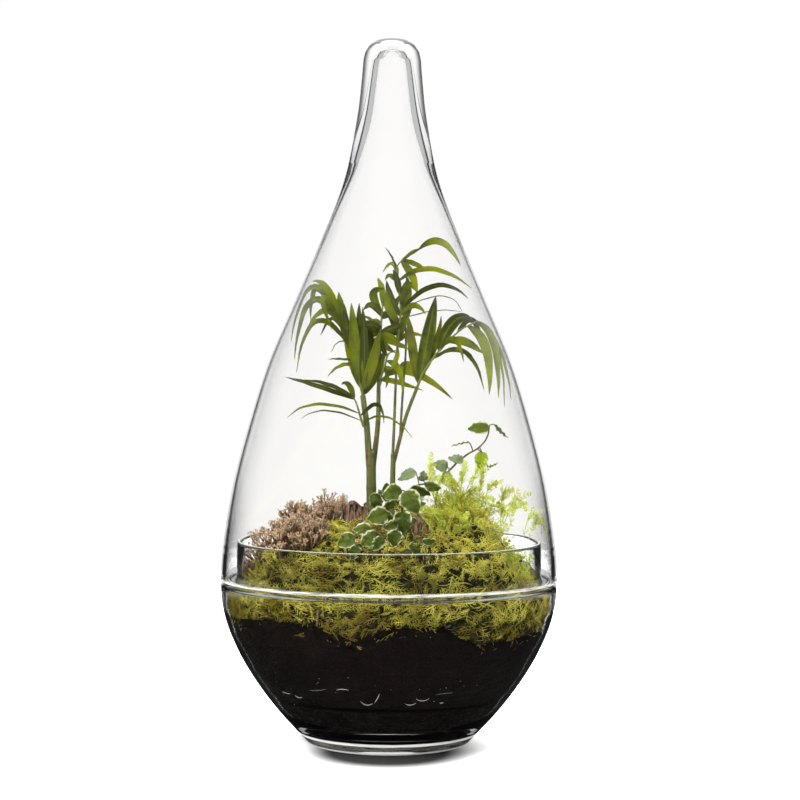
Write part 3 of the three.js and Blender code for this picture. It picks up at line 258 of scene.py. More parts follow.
def along_sight(points: Any) -> Array:
    """Moves points along the line of sight to their own depth, so that the eye sees them where it did.

    From the eye, x and z grow by (distance + y) / distance.

    Args:
        points: x and z in the upright plane through the axis, with the depth y between them.

    Returns:
        The points at their depths.
    """
    points = np.asarray(points, float)
    scale = (EYE_DISTANCE + points[..., 1]) / EYE_DISTANCE
    x = EYE_X + (points[..., 0] - EYE_X) * scale
    z = EYE_Z + (points[..., 2] - EYE_Z) * scale
    return np.stack([x, points[..., 1], z], axis=-1)


def inside_glass(points: Array, margin: float) -> Array:
    """Draws points in towards the axis until they clear the bowl's wall, the neck or the dome.

    Args:
        points: places, with x, y and z last.
        margin: how far they have to clear it.

    Returns:
        The points, at the same heights.
    """
    x, y, z = points[..., 0], points[..., 1], points[..., 2]
    low = np.where(z > NECK_FOOT_Z, NECK_INNER_R, radius_at(BOWL_INSIDE, z))
    room = np.where(z > RIM_Z + 1, radius_at(DOME_INSIDE, z), low) - margin
    share = np.minimum(1, room / np.maximum(np.hypot(x, y), 1e-6))
    return np.stack([x * share, y * share, z], axis=-1)


# Closed skins and the mesh that they make


@dataclass(frozen=True)
class Skins:
    """Closed skins of one kind. Each is a grid of rings and is closed at both ends by a fan to one point.

    The last axis holds x, y, z and four marks that the finishes read: along, across, tone and woody.
    """

    grid: Array
    first: Array
    last: Array

    @staticmethod
    def made(
        grid: Array, first: Array, last: Array,
        along: Any = 0.0, across: Any = 0.0, tone: Any = 0.0, woody: Any = 0.0,
    ) -> Skins:
        """Joins bare points and their marks.

        Args:
            grid: points of each skin, ring and side.
            first: the point that closes each skin's start.
            last: the point that closes its end.
            along: how far along the growth each grid point lies, from 0 to 1.
            across: how far to the side it lies, from -1 to 1.
            tone: a shade for each skin.
            woody: a share of wood, or of a dark tip; on the soil, how pale a painted glint is.

        Returns:
            The skins.
        """
        tone, woody = np.asarray(tone, float), np.asarray(woody, float)
        tone = tone[:, None, None] if tone.ndim == 1 else tone
        woody = woody[:, None, None] if woody.ndim == 1 else woody
        marks = [np.broadcast_to(m, grid.shape[:-1])[..., None] for m in (along, across, tone, woody)]
        whole = np.concatenate([grid, *marks], axis=-1)
        closed = ((first, 0), (last, -1))
        ends = [np.concatenate([end, whole[:, at].mean(axis=1)[:, 3:]], axis=-1) for end, at in closed]
        return Skins(whole, *ends)

    @property
    def parts(self) -> tuple[Array, Array, Array]:
        """The grid and the two closing points."""
        return self.grid, self.first, self.last

    def drawn_in(self, margin: float) -> Skins:
        """The same skins, kept clear of the glass by a margin."""
        parts = (np.concatenate([inside_glass(p[..., :3], margin), p[..., 3:]], axis=-1) for p in self.parts)
        return Skins(*parts)


class MeshStock:
    """Gathers skins and makes one mesh of them."""

    def __init__(self) -> None:
        """Starts empty."""
        self.rows: list[Array] = []
        self.quads: list[NDArray[np.int64]] = []
        self.triangles: list[NDArray[np.int64]] = []
        self.count = 0

    def add(self, *batches: Skins) -> MeshStock:
        """Adds skins, with their faces pointing outwards.

        A quad joins sides s and s + 1 of rings r and r + 1. Where the volume that the faces enclose comes out
        negative, all faces of the batch are turned round.

        Args:
            batches: the skins.

        Returns:
            This stock.
        """
        for skins in batches:
            bodies, rings, sides, width = skins.grid.shape
            start = (np.arange(bodies) * (rings * sides + 2))[:, None, None]
            ring, side = np.arange(rings - 1)[None, :, None], np.arange(sides)[None, None, :]
            after = (side + 1) % sides
            low, high = start + ring * sides, start + (ring + 1) * sides
            quads = np.stack([low + side, low + after, high + after, high + side], axis=-1).reshape(-1, 4)
            end, top = start + rings * sides, start + (rings - 1) * sides
            opening = np.stack([end + 0 * side, start + after, start + side], axis=-1).reshape(-1, 3)
            closing = np.stack([end + 1 + 0 * side, top + side, top + after], axis=-1).reshape(-1, 3)
            triangles = np.vstack([opening, closing])
            ends = np.stack([skins.first, skins.last], axis=1)
            points = np.concatenate([skins.grid.reshape(bodies, -1, width), ends], axis=1).reshape(-1, width)
            split = np.vstack([quads[:, [0, 1, 2]], quads[:, [0, 2, 3]], triangles])
            a, b, c = (points[split[:, i], :3] for i in range(3))
            if np.einsum("ij,ij->", a, np.cross(b, c)) < 0:
                quads, triangles = quads[:, ::-1], triangles[:, ::-1]
            self.rows.append(points)
            self.quads.append(quads + self.count)
            self.triangles.append(triangles + self.count)
            self.count += len(points)
        return self

    def build(self, name: str, material: bpy.types.Material) -> bpy.types.Object:
        """Puts all that was added into one smooth mesh in metres.

        Args:
            name: the object's name.
            material: its one finish.

        Returns:
            The object, at the origin.
        """
        points = np.vstack(self.rows)
        quads, triangles = np.vstack(self.quads), np.vstack(self.triangles)
        starts = np.concatenate([4 * np.arange(len(quads)), 4 * len(quads) + 3 * np.arange(len(triangles))])
        corners = np.concatenate([quads.ravel(), triangles.ravel()])
        mesh = bpy.data.meshes.new(name)
        mesh.vertices.add(len(points))
        mesh.vertices.foreach_set("co", (points[:, :3] * MM).astype(np.float32).ravel())
        mesh.loops.add(len(corners))
        mesh.loops.foreach_set("vertex_index", corners.astype(np.int32))
        mesh.polygons.add(len(starts))
        mesh.polygons.foreach_set("loop_start", starts.astype(np.int32))
        growth = mesh.attributes.new("growth", "FLOAT_VECTOR", "POINT")
        growth.data.foreach_set("vector", points[:, 3:6].astype(np.float32).ravel())
        woody = mesh.attributes.new("woody", "FLOAT", "POINT")
        woody.data.foreach_set("value", points[:, 6].astype(np.float32))
        mesh.update(calc_edges=True)
        mesh.shade_smooth()
        mesh.materials.append(material)
        made = bpy.data.objects.new(name, mesh)
        bpy.context.scene.collection.objects.link(made)
        return made


def across_of(paths: Array) -> tuple[Array, Array, Array]:
    """Three square directions along each path.

    The first cross direction is the tangent's cross product with the axis that the path follows least, so
    that the two don't twist much.

    Args:
        paths: the paths' points.

    Returns:
        The tangent, and two directions across it.
    """
    along = unit(np.gradient(paths, axis=1))
    least = np.argmin(np.abs(paths[:, -1] - paths[:, 0]), axis=1)
    side = unit(np.cross(np.eye(3)[least][:, None], along))
    return along, side, np.cross(along, side)


def spokes(side: Array, other: Array, sides: int) -> Array:
    """Directions round a ring: cos a times one cross direction + sin a times the other."""
    turn = circle(sides)
    return np.cos(turn)[:, None] * side[..., None, :] + np.sin(turn)[:, None] * other[..., None, :]


def stations(paths: Array, shares: Array) -> tuple[Array, Array]:
    """Places along paths, in straight lines between their points.

    Args:
        paths: the paths' points.
        shares: how far along each path they lie, from 0 to 1.

    Returns:
        The places, and the path's direction there.
    """
    at = shares * (paths.shape[1] - 1)
    low = np.minimum(at.astype(int), paths.shape[1] - 2)
    part = (at - low)[None, :, None]
    before, after = paths[:, low], paths[:, low + 1]
    return before * (1 - part) + after * part, unit(after - before)


def tubes(
    paths: Array, radii: Any, sides: int, tone: Any = 0.0, woody: Any = 0.0, blunt: float = 0.6
) -> Skins:
    """Closed round tubes: a point is the path's point plus the radius times a spoke.

    Args:
        paths: the paths' points, of each tube and ring.
        radii: a radius for each ring, or one for all.
        sides: points round a ring.
        tone: the tubes' shade.
        woody: their share of wood.
        blunt: how far the ends stand out, in radii.

    Returns:
        The tubes.
    """
    along, side, other = across_of(paths)
    radii = np.broadcast_to(np.asarray(radii, float), paths.shape[:2])
    grid = paths[:, :, None] + radii[:, :, None, None] * spokes(side, other, sides)
    first = paths[:, 0] - along[:, 0] * radii[:, :1] * blunt
    last = paths[:, -1] + along[:, -1] * radii[:, -1:] * blunt
    share = np.linspace(0, 1, paths.shape[1])[None, :, None]
    return Skins.made(grid, first, last, share, np.cos(circle(sides)), tone, woody)


def spindles(base: Array, middle: Array, tip: Array, radius: Array, tone: Array) -> Skins:
    """Bent spindles of six faces, dark at the base and bright at the tip, each on one ring of three spokes.

    Args:
        base: where each spindle starts.
        middle: the middle of its ring.
        tip: where it ends.
        radius: its ring's radius.
        tone: its shade.

    Returns:
        The spindles.
    """
    _, side, other = across_of(np.stack([base, tip], axis=1))
    ring = middle[:, None] + radius[:, None, None] * spokes(side[:, 0], other[:, 0], 3)
    made = Skins.made(ring[:, None], base, tip, 0.5, np.cos(circle(3)), tone)
    made.first[..., ALONG], made.last[..., ALONG] = 0, 1
    return made


def turned(profile: Array, sides: int, relief: Any = 0.0) -> Skins:
    """One closed skin of revolution: (r cos a, r sin a, z) over a profile that starts and ends on the axis.

    Args:
        profile: radius and height, for each ring, or for each ring and side.
        sides: points round the axis.
        relief: how far each point is moved outwards.

    Returns:
        The skin.
    """
    profile = profile if profile.ndim == 3 else np.repeat(profile[:, None], sides, axis=1)
    grid = polar(profile[1:-1, :, 0] + relief, circle(sides), profile[1:-1, :, 1])
    return Skins.made(grid[None], *(np.array([[0, 0, profile[i, 0, 1]]]) for i in (0, -1)))


def curls(
    start: Array, heading: Array, turn: Array, rise: Array, droop: Array, length: Array, steps: int
) -> Array:
    """Curved strands.

    At share s of its length a strand points to heading + s turn in plan and to rise - s droop above the
    horizon, and its path is the running sum of those directions.

    Args:
        start: where each strand starts.
        heading: where it sets out to in plan, in radians.
        turn: how far it turns in plan.
        rise: how steeply it sets out.
        droop: how far it bends down.
        length: its length.
        steps: points along it.

    Returns:
        The strands' points.
    """
    s = np.linspace(0, 1, steps)
    plan = heading[:, None] + turn[:, None] * s
    lift = rise[:, None] - droop[:, None] * s
    way = polar(np.cos(lift), plan, np.sin(lift))
    middle = 0.5 * (way[:, 1:] + way[:, :-1]) * (length / (steps - 1))[:, None, None]
    return start[:, None] + np.concatenate([np.zeros((len(start), 1, 3)), np.cumsum(middle, axis=1)], axis=1)


def strip_curls(height: Array, rise: Array, droop: Array, length: Array, steps: int) -> tuple[Array, Array]:
    """Curved strands on a flat strip that is to be wrapped round the glass.

    Args:
        height: the height at which each strand starts.
        rise: how steeply it sets out.
        droop: how far it bends down.
        length: its length.
        steps: points along it.

    Returns:
        How far along the strip each point lies, and its height.
    """
    flat = 0 * height
    strip = curls(np.stack([flat, flat, height], axis=1), flat, flat, rise, droop, length, steps)
    return strip[..., 0], strip[..., 2]


# Leaf blades


class Outline(Enum):
    """Half widths along a blade, as t^a (1 - t)^b over its peak: the values are a, b and the peak."""

    LANCE = (0.6, 0.8, 0.385)
    OVATE = (0.42, 0.74, 0.474)

    def share(self, t: Array) -> Array:
        """The half width at shares t of the length."""
        a, b, peak = self.value
        return t**a * (1 - t) ** b / peak


@dataclass(frozen=True)
class Leaves:
    """Leaves of one kind, each by its base, middle and tip, width, roll in degrees and tone."""

    base: Array
    middle: Array
    tip: Array
    width: Array
    roll: Array
    tone: Array


@dataclass(frozen=True)
class BladeForm:
    """The form of one kind of leaf blade."""

    outline: Outline
    rings: int
    sides: int
    thickness: float
    fold: float
    wave: float = 0.0
    scallops: float = 0.0
    curl: float = 0.0

    def skins(self, leaves: Leaves) -> Skins:
        """Closed thin blades.

        The middle line is the quadratic curve through base, middle and tip. Across it a point lies at
        v = cos a half widths to the side and sin a half thicknesses up. The edges sink by fold times the half
        width and wave by v^2 sin(7 pi t), and the outline is scalloped by 1 + scallops |sin(9 pi t)|.

        Args:
            leaves: the leaves to make.

        Returns:
            One blade for each leaf.
        """
        t = 0.5 - 0.5 * np.cos(np.pi * (np.arange(self.rings) + 0.5) / self.rings)
        base, middle, tip = leaves.base[:, None], leaves.middle[:, None], leaves.tip[:, None]
        control = 2 * middle - base / 2 - tip / 2
        s = t[:, None]
        line = arc(base, control, tip, s)
        along = unit(2 * (1 - s) * (control - base) + 2 * s * (tip - control))
        flat = unit(np.cross(along, [0.0, 1.0, 0.0]))
        roll = np.radians(leaves.roll)[:, None, None] + np.radians(self.curl) * (s - 0.5)
        across = flat * np.cos(roll) + np.cross(along, flat) * np.sin(roll)
        up = np.cross(across, along)
        half = leaves.width[:, None] / 2 * self.outline.share(t)
        half = half * (1 + self.scallops * (np.abs(np.sin(9 * np.pi * t)) - 0.5))
        turn = circle(self.sides)
        v, w = np.cos(turn), -np.sin(turn)
        wave = self.wave * np.sin(7 * np.pi * t + 9 * leaves.tone[:, None])[:, :, None] * v**2
        hill = self.thickness / 2 * w - self.fold * half[:, :, None] * np.abs(v) + wave
        grid = line[:, :, None] + across[:, :, None] * (half[:, :, None] * v)[..., None]
        grid = grid + up[:, :, None] * hill[..., None]
        return Skins.made(grid, leaves.base, leaves.tip, t[:, None], v, leaves.tone)


LANCE_BLADE = BladeForm(Outline.LANCE, rings=20, sides=14, thickness=0.34, fold=0.16, wave=0.25, curl=16)
OVATE_BLADE = BladeForm(
    Outline.OVATE, rings=20, sides=18, thickness=0.36, fold=0.14, wave=0.75, scallops=0.14, curl=22
)


# Finishes


@dataclass(frozen=True)
class Socket:
    """A number inside a material. Python's operators add Math nodes."""

    shader: Shader
    source: bpy.types.NodeSocket

    def math(self, operation: str, *others: Any, first: Any = None) -> Socket:
        """One Math node on this number and others.

        Args:
            operation: the node's operation.
            others: the numbers after this one.
            first: a number that comes before this one instead.

        Returns:
            The result.
        """
        terms = [self, *others] if first is None else [first, self, *others]
        node = self.shader.node("ShaderNodeMath", {"operation": operation}, dict(enumerate(terms)))
        return Socket(self.shader, node.outputs[0])

    def __add__(self, other: Any) -> Socket:
        """self + other."""
        return self.math("ADD", other)

    __radd__ = __add__

    def __mul__(self, other: Any) -> Socket:
        """self * other."""
        return self.math("MULTIPLY", other)

    __rmul__ = __mul__

    def __sub__(self, other: Any) -> Socket:
        """self - other."""
        return self.math("SUBTRACT", other)

    def __rsub__(self, other: Any) -> Socket:
        """other - self."""
        return self.math("SUBTRACT", first=other)

    def __truediv__(self, other: Any) -> Socket:
        """self / other."""
        return self.math("DIVIDE", other)

    def __rtruediv__(self, other: Any) -> Socket:
        """other / self."""
        return self.math("DIVIDE", first=other)

    def __pow__(self, other: Any) -> Socket:
        """self ** other."""
        return self.math("POWER", other)

    def __abs__(self) -> Socket:
        """The size of the number without its sign."""
        return self.math("ABSOLUTE")

    def sine(self) -> Socket:
        """The sine of the number in radians."""
        return self.math("SINE")

    def between(self, low: float, high: float) -> Socket:
        """0 below low, 1 above high, and a smooth step between them."""
        values = {"Value": self, "From Min": low, "From Max": high}
        node = self.shader.node("ShaderNodeMapRange", {"interpolation_type": "SMOOTHSTEP"}, values)
        return Socket(self.shader, node.outputs["Result"])

    def hypot(self, other: Socket) -> Socket:
        """The distance (self^2 + other^2)^0.5."""
        return (self * self + other * other) ** 0.5


class Shader:
    """The nodes of one material, or of the world."""

    def __init__(self, owner: bpy.types.ID) -> None:
        """Clears the owner's node tree and writes into it."""
        owner.use_nodes = True
        self.tree = owner.node_tree
        self.tree.nodes.clear()

    def node(
        self, kind: str, settings: dict[str, Any] | None = None, values: dict[Any, Any] | None = None
    ) -> bpy.types.Node:
        """Adds a node.

        Args:
            kind: the node's type.
            settings: its own settings, set first. "stops" fills a ramp with places and colours.
            values: what goes into its sockets, by name or number: a value, or a socket to link from.

        Returns:
            The node.
        """
        made = self.tree.nodes.new(kind)
        for name, value in (settings or {}).items():
            if name == "stops":
                while len(made.color_ramp.elements) < len(value):
                    made.color_ramp.elements.new(1.0)
                for element, (place, colour) in zip(made.color_ramp.elements, value, strict=True):
                    element.position, element.color = place, (*colour, 1.0)
            else:
                setattr(made, name, value)
        for name, value in (values or {}).items():
            if isinstance(value, Socket):
                self.tree.links.new(value.source, made.inputs[name])
            elif isinstance(value, bpy.types.NodeSocket):
                self.tree.links.new(value, made.inputs[name])
            elif isinstance(value, tuple) and made.inputs[name].type == "RGBA":
                made.inputs[name].default_value = (*value, 1.0)
            else:
                made.inputs[name].default_value = value
        return made

    def place(self) -> bpy.types.NodeSocket:
        """Object coordinates, in metres from the foot's middle."""
        return self.node("ShaderNodeTexCoord").outputs["Object"]

    def split(self, vector: bpy.types.NodeSocket) -> tuple[Socket, Socket, Socket]:
        """The three numbers of a vector."""
        parts = self.node("ShaderNodeSeparateXYZ", None, {0: vector})
        return tuple(Socket(self, parts.outputs[i]) for i in range(3))

    def growth(self) -> tuple[Socket, Socket, Socket]:
        """The marks along, across and tone."""
        mark = self.node("ShaderNodeAttribute", {"attribute_name": "growth"})
        return self.split(mark.outputs["Vector"])

    def woody(self) -> Socket:
        """The mark of wood or of dark tips, and on the soil of painted glints."""
        return Socket(self, self.node("ShaderNodeAttribute", {"attribute_name": "woody"}).outputs["Fac"])

    def noise(
        self, per_metre: float, detail: float = 3.0, stretch: tuple[float, float, float] = (1, 1, 1)
    ) -> Socket:
        """Noise between 0 and 1 over Object coordinates.

        Args:
            per_metre: how many lumps there are to a metre.
            detail: how many finer orders are added.
            stretch: a scale for each axis.

        Returns:
            The noise.
        """
        room = self.node("ShaderNodeMapping", None, {"Vector": self.place(), "Scale": stretch})
        values = {"Vector": room.outputs[0], "Scale": per_metre, "Detail": detail}
        return Socket(self, self.node("ShaderNodeTexNoise", None, values).outputs[0])

    def mix(self, share: Any, low: Any, high: Any) -> bpy.types.NodeSocket:
        """A colour between two."""
        kind = {"data_type": "RGBA", "clamp_factor": True}
        return self.node("ShaderNodeMix", kind, {0: share, 6: low, 7: high}).outputs[2]

    def bump(self, height: Socket, depth: float) -> bpy.types.NodeSocket:
        """A bump of a real depth in millimetres."""
        values = {"Height": height, "Strength": 1.0, "Distance": depth * MM}
        return self.node("ShaderNodeBump", None, values).outputs[0]

    def rays(self) -> tuple[Socket, Socket, Socket, Socket]:
        """What a ray has met on its way. One that has met anything but glass is none of the first three.

        Returns:
            Whether it is the eye's own, came through glass, or was mirrored by glass, and whether it came
            through one wall only.
        """
        path = self.node("ShaderNodeLightPath").outputs
        bare = Socket(self, path["Diffuse Depth"]).math("LESS_THAN", 0.5)
        mirrored = bare * Socket(self, path["Glossy Depth"]).math("GREATER_THAN", 0.5)
        through = Socket(self, path["Is Transmission Ray"]) * bare * (1 - mirrored)
        solid = Socket(self, path["Transmission Depth"]).math("LESS_THAN", 2.5)
        return Socket(self, path["Is Camera Ray"]), through, mirrored, solid

    def surface(self, **values: Any) -> bpy.types.Node:
        """A Principled surface; a word such as Base_Color names the socket Base Color."""
        named = {word.replace("_", " "): value for word, value in values.items()}
        return self.node("ShaderNodeBsdfPrincipled", None, named)

    def blend(self, share: Any, one: bpy.types.Node, two: bpy.types.Node) -> bpy.types.Node:
        """The shader one, with a share of the shader two."""
        return self.node("ShaderNodeMixShader", None, {0: share, 1: one.outputs[0], 2: two.outputs[0]})

    def close(self, shader: bpy.types.Node) -> None:
        """Links the last shader to the output."""
        self.node("ShaderNodeOutputMaterial", None, {"Surface": shader.outputs[0]})

    def close_lit(self, share: Any, face: bpy.types.Node, glow: Colour) -> None:
        """Ends in a surface of which a share lets light shine through in a colour."""
        self.close(self.blend(share, face, self.node("ShaderNodeBsdfTranslucent", None, {"Color": glow})))


@dataclass(frozen=True)
class Finish:
    """A named finish of one of the record's material slots."""

    name: str
    slot: str

    made: ClassVar[dict[str, bpy.types.Material]] = {}

    def material(self) -> bpy.types.Material:
        """The finish as a material, made once."""
        if self.name not in Finish.made:
            material = bpy.data.materials.new(self.name)
            self.dress(Shader(material))
            Finish.made[self.name] = material
        return Finish.made[self.name]

    def dress(self, shader: Shader) -> None:
        """Writes the nodes.

        Args:
            shader: the material's nodes, cleared.
        """
        raise NotImplementedError


@dataclass(frozen=True)
class ClearGlass(Finish):
    """Blown soda glass. Light from lamps goes straight through it to what grows inside."""

    refraction: float = 1.46
    ripple: float = 0.02
    # Heights of the painted highlight bands at the joint and at the neck's rim.
    joint: tuple[float, float] = (115.3, 117.4)
    rim: tuple[float, float] = (142.3, 143.6)

    def painted_edge_highlights(self, shader: Shader) -> Socket:
        """How far the glass turns into pale bands that paint its highlights: the foot's two rims, the joint
        of bowl and dome, and the neck's rim. The bands stand partly for ground glass at the joint and the
        foot, and are partly painted highlight where thick glass gathers light.

        The bands show where the eye sees them straight, so that thick glass doesn't repeat them, and the
        neck's rim also where it is seen through the dome.

        Args:
            shader: the material's nodes.

        Returns:
            The share of the pale shader that paints the highlights.
        """
        camera, through, _, _ = shader.rays()
        x, y, z = (way / MM for way in shader.split(shader.place()))
        r = x.hypot(y)
        streak = shader.noise(60.0, 3.0, (1, 1, 22)).between(0.35, 0.62)

        def band(low: float, high: float, soft: float) -> Socket:
            """1 between two heights in millimetres, with soft ends."""
            return z.between(low - soft, low + soft) * (1 - z.between(high - soft, high + soft))

        # Painted highlights: the joint, the neck's rim, the foot's rim and the crease above the foot get pale
        # bands.
        outside = r.between(111.5, 112.5)
        joint = band(self.joint[0], self.joint[1], 0.4) * outside * (0.15 + 0.6 * streak)
        rim = band(self.rim[0], self.rim[1], 0.3) * r.between(104.5, 105) * (1 - outside) * 0.45
        # The foot's band is the painted highlight of the foot's rim, partly ground glass.
        ground = (1 - z.between(1.2, 2.2)) * (0.65 + 0.35 * streak) + 0.14 * band(2.0, 6.5, 0.5) * streak
        foot = ground * r.between(54, 55)
        crease_highlight = band(6.9, 9.0, 0.4) * r.between(61, 62) * (0.6 + 0.4 * streak)
        return (joint + 1.4 * (foot + crease_highlight)) * camera + rim * (camera + through)

    def dress(self, shader: Shader) -> None:
        """A faint blown waviness on clear glass, and a see-through shader for shadow and diffuse rays."""
        waves = shader.noise(22.0, 1.0, (1, 1, 0.45))
        glass = shader.surface(
            Base_Color=(0.985, 0.992, 0.988), Roughness=0.0, IOR=self.refraction, Transmission_Weight=1.0,
            Normal=shader.bump(waves, self.ripple),
        )
        path = shader.node("ShaderNodeLightPath").outputs
        lighting = Socket(shader, path["Is Shadow Ray"]).math("MAXIMUM", path["Is Diffuse Ray"])
        clear = shader.node("ShaderNodeBsdfTransparent", None, {"Color": (0.96, 0.97, 0.965)})
        # The pale diffuse shader that paints the edge highlights.
        ground = shader.node("ShaderNodeBsdfDiffuse", None, {"Color": (0.78, 0.77, 0.73)})
        shader.close(shader.blend(lighting, shader.blend(self.painted_edge_highlights(shader), glass, ground), clear))


@dataclass(frozen=True)
class Crumbs(Finish):
    """Dark crumbly ground: soil, gravel or charcoal."""

    dark: Colour
    light: Colour
    grain: float
    depth: float
    wetness: float = 0.6

    def dress(self, shader: Shader) -> None:
        """Crumbs of two sizes, a few pale grains, damp patches that shine, and pale painted glints."""
        _, _, tone = shader.growth()
        painted_glint = shader.woody()
        crumb = shader.noise(1 / (self.grain * MM), 6.0)
        patch = shader.noise(55.0, 3.0)
        fleck = shader.noise(700.0, 2.0).between(0.70, 0.76)
        base = shader.mix(crumb.between(0.35, 0.75) * (0.4 + patch + tone), self.dark, self.light)
        pale = shader.mix(fleck * 0.5, base, (0.06, 0.04, 0.03))
        # Painted glints: where the woody mark is set on the soil, it turns pale.
        with_painted_glints = shader.mix(painted_glint, pale, (0.85, 0.84, 0.80))
        rough = self.wetness + 0.35 * crumb.between(0.3, 0.6)
        face = shader.surface(
            Base_Color=with_painted_glints, Roughness=rough, Specular_IOR_Level=0.05, Normal=shader.bump(crumb, self.depth)
        )
        shader.close(face)


@dataclass(frozen=True)
class Strands(Finish):
    """Moss: strands that are brown at the foot and bright at the tip."""

    foot: Colour
    middle: Colour
    tip: Colour
    brown: Colour
    glow: Colour

    def dress(self, shader: Shader) -> None:
        """Foot to tip colours, a tone for each strand, and slow patches of brown."""
        along, across, tone = shader.growth()
        woody = shader.woody()
        grown = shader.mix(along.between(0.0, 0.45), self.foot, self.middle)
        clump = shader.noise(62.0, 2.0)
        x, _, z = shader.split(shader.place())
        # Painted light and shade by place: brighter towards +x and from 85 to 120 mm up, darker below about
        # 80 mm where x is over about 50 mm.
        painted_low_shade = x.between(0.04, 0.06) * (1 - z.between(0.075, 0.088))
        painted_sunlight = x * 3.0 + 0.92 * z.between(0.085, 0.120) - 0.55 * painted_low_shade
        bright = (along * 0.5 + tone * 0.6 + (clump - 0.5) * 3.0 + painted_sunlight - 0.50).between(0.1, 0.95)
        lit = shader.mix(bright, grown, self.tip)
        patch = (shader.noise(38.0, 3.0) + tone * 0.28).between(0.60, 0.80)
        body = shader.mix(patch * 0.8, lit, self.brown)
        # The near-black body under the strands is partly the peat's own colour and partly painted shade
        # between them.
        peat = shader.noise(420.0, 4.0).between(0.4, 0.7)
        cushion = shader.mix(peat, (0.010, 0.008, 0.003), (0.05, 0.045, 0.008))
        face = shader.surface(
            Base_Color=shader.mix(woody, body, cushion), Roughness=0.62 + 0.2 * abs(across),
            Specular_IOR_Level=0.12, Normal=shader.bump(shader.noise(2600.0, 2.0), 0.12),
        )
        shader.close_lit(0.32 - 0.32 * woody, face, self.glow)


@dataclass(frozen=True)
class Coral(Finish):
    """Reindeer lichen: pale chalky branchlets with dark tips."""

    low: Colour
    high: Colour
    tip: Colour

    def dress(self, shader: Shader) -> None:
        """Darker low down, paler towards the tips, with brown ends."""
        along, _, tone = shader.growth()
        clump = shader.noise(75.0, 2.0) - 0.5
        grown = shader.mix((along + tone * 0.4 + clump * 1.8 - 0.25).between(0.1, 1.0), self.low, self.high)
        mottled = shader.mix(shader.noise(260.0, 4.0).between(0.45, 0.8) * 0.4, grown, self.low)
        colour = shader.mix(shader.woody().between(0.25, 0.9) * 0.85, mottled, self.tip)
        chalk = shader.bump(shader.noise(1900.0, 3.0), 0.15)
        shader.close_lit(0.14, shader.surface(Base_Color=colour, Roughness=0.86, Normal=chalk), self.high)


@dataclass(frozen=True)
class Bark(Finish):
    """Weathered bark, with long fibres and pale edges."""

    dark: Colour
    light: Colour

    def dress(self, shader: Shader) -> None:
        """Stretched fibres, cracks and lichen-pale patches."""
        fibre = shader.noise(420.0, 5.0, (1.6, 1.6, 0.35))
        patch = shader.noise(110.0, 4.0)
        crack = shader.noise(300.0, 4.0, (1.0, 1.0, 0.3)).between(0.36, 0.46)
        wood = shader.mix(fibre.between(0.35, 0.7), self.dark, self.light)
        grey = shader.mix(patch.between(0.55, 0.75) * 0.5, wood, (0.24, 0.18, 0.13))
        colour = shader.mix(1 - crack, grey, (0.012, 0.008, 0.005))
        relief = shader.bump(fibre * crack, 0.7)
        shader.close(shader.surface(Base_Color=colour, Roughness=0.85, Normal=relief))


@dataclass(frozen=True)
class Cane(Finish):
    """Young palm stems: olive, with brown sheaths and pale rings."""

    green: Colour
    brown: Colour

    def dress(self, shader: Shader) -> None:
        """Long stripes, brown low down, and darker bands where leaf sheaths end."""
        along, _, tone = shader.growth()
        stripe = shader.noise(900.0, 3.0, (1.0, 1.0, 0.04))
        blotch = shader.noise(120.0, 3.0, (1.0, 1.0, 0.3))
        low = (1 - along + blotch * 0.7 + tone).between(0.75, 1.5)
        colour = shader.mix(low, self.green, self.brown)
        striped = shader.mix(stripe.between(0.42, 0.66) * 0.6, colour, (0.21, 0.18, 0.07))
        ring = shader.woody().between(0.4, 1.0)
        dark = shader.mix(ring * 0.35 + blotch.between(0.62, 0.72) * 0.4, striped, (0.045, 0.028, 0.014))
        shader.close(shader.surface(Base_Color=dark, Roughness=0.5, Normal=shader.bump(stripe, 0.2)))


@dataclass(frozen=True)
class PalmLeaf(Finish):
    """Parlour palm leaflets: fine long veins, a pale midrib, and light that shines through."""

    # shade and fresh are a painted shaded and a painted backlit copy of the leaflet green; base is the green
    # of painted shade at each blade's foot.
    shade: Colour
    fresh: Colour
    base: Colour
    rib: Colour
    glow: Colour

    def dress(self, shader: Shader) -> None:
        """Veins run along the blade at equal shares of its width, and some ends are wine-brown."""
        along, across, tone = shader.growth()
        woody = shader.woody()
        side = abs(across)
        vein = (side * 34.0).sine() * 0.5 + 0.5
        wide = (side * 9.0).sine() * 0.5 + 0.5
        cloud = shader.noise(95.0, 3.0)
        # Painted light: a tone for each leaflet and noise pick between the shaded and the backlit green,
        # partly also real differences of tone.
        fresh = (tone * 1.1 + (cloud - 0.5) * 1.6 - 0.12).between(0.0, 1.0)
        blade = shader.mix(fresh, self.shade, self.fresh)
        # Painted shade: each blade darkens towards its base.
        painted_base_shade = shader.mix((1 - along.between(0.0, 0.42)) * 0.8, blade, self.base)
        lined = shader.mix(vein * 0.18 + wide * 0.1, painted_base_shade, self.rib)
        ribbed = shader.mix((1 - side.between(0.015, 0.10)) * 0.8, lined, self.rib)
        dull = (shader.noise(30.0, 2.0) + along * 0.35 + tone * 0.12).between(0.84, 1.06) * 0.75
        wine = shader.mix(dull, ribbed, (0.085, 0.062, 0.040))
        ended = shader.mix((along + cloud * 0.06).between(0.965, 1.03) * 0.7, wine, (0.14, 0.075, 0.02))
        relief = vein * 0.5 + wide - 0.8 * (1 - side.between(0.0, 0.10))
        face = shader.surface(
            Base_Color=shader.mix(woody, ended, self.rib), Roughness=0.4 + 0.18 * cloud,
            Specular_IOR_Level=0.28, Normal=shader.bump(relief, 0.10),
        )
        share = (0.10 + 0.40 * fresh * along.between(0.05, 0.5)) * (1 - woody)
        shader.close_lit(share, face, self.glow)


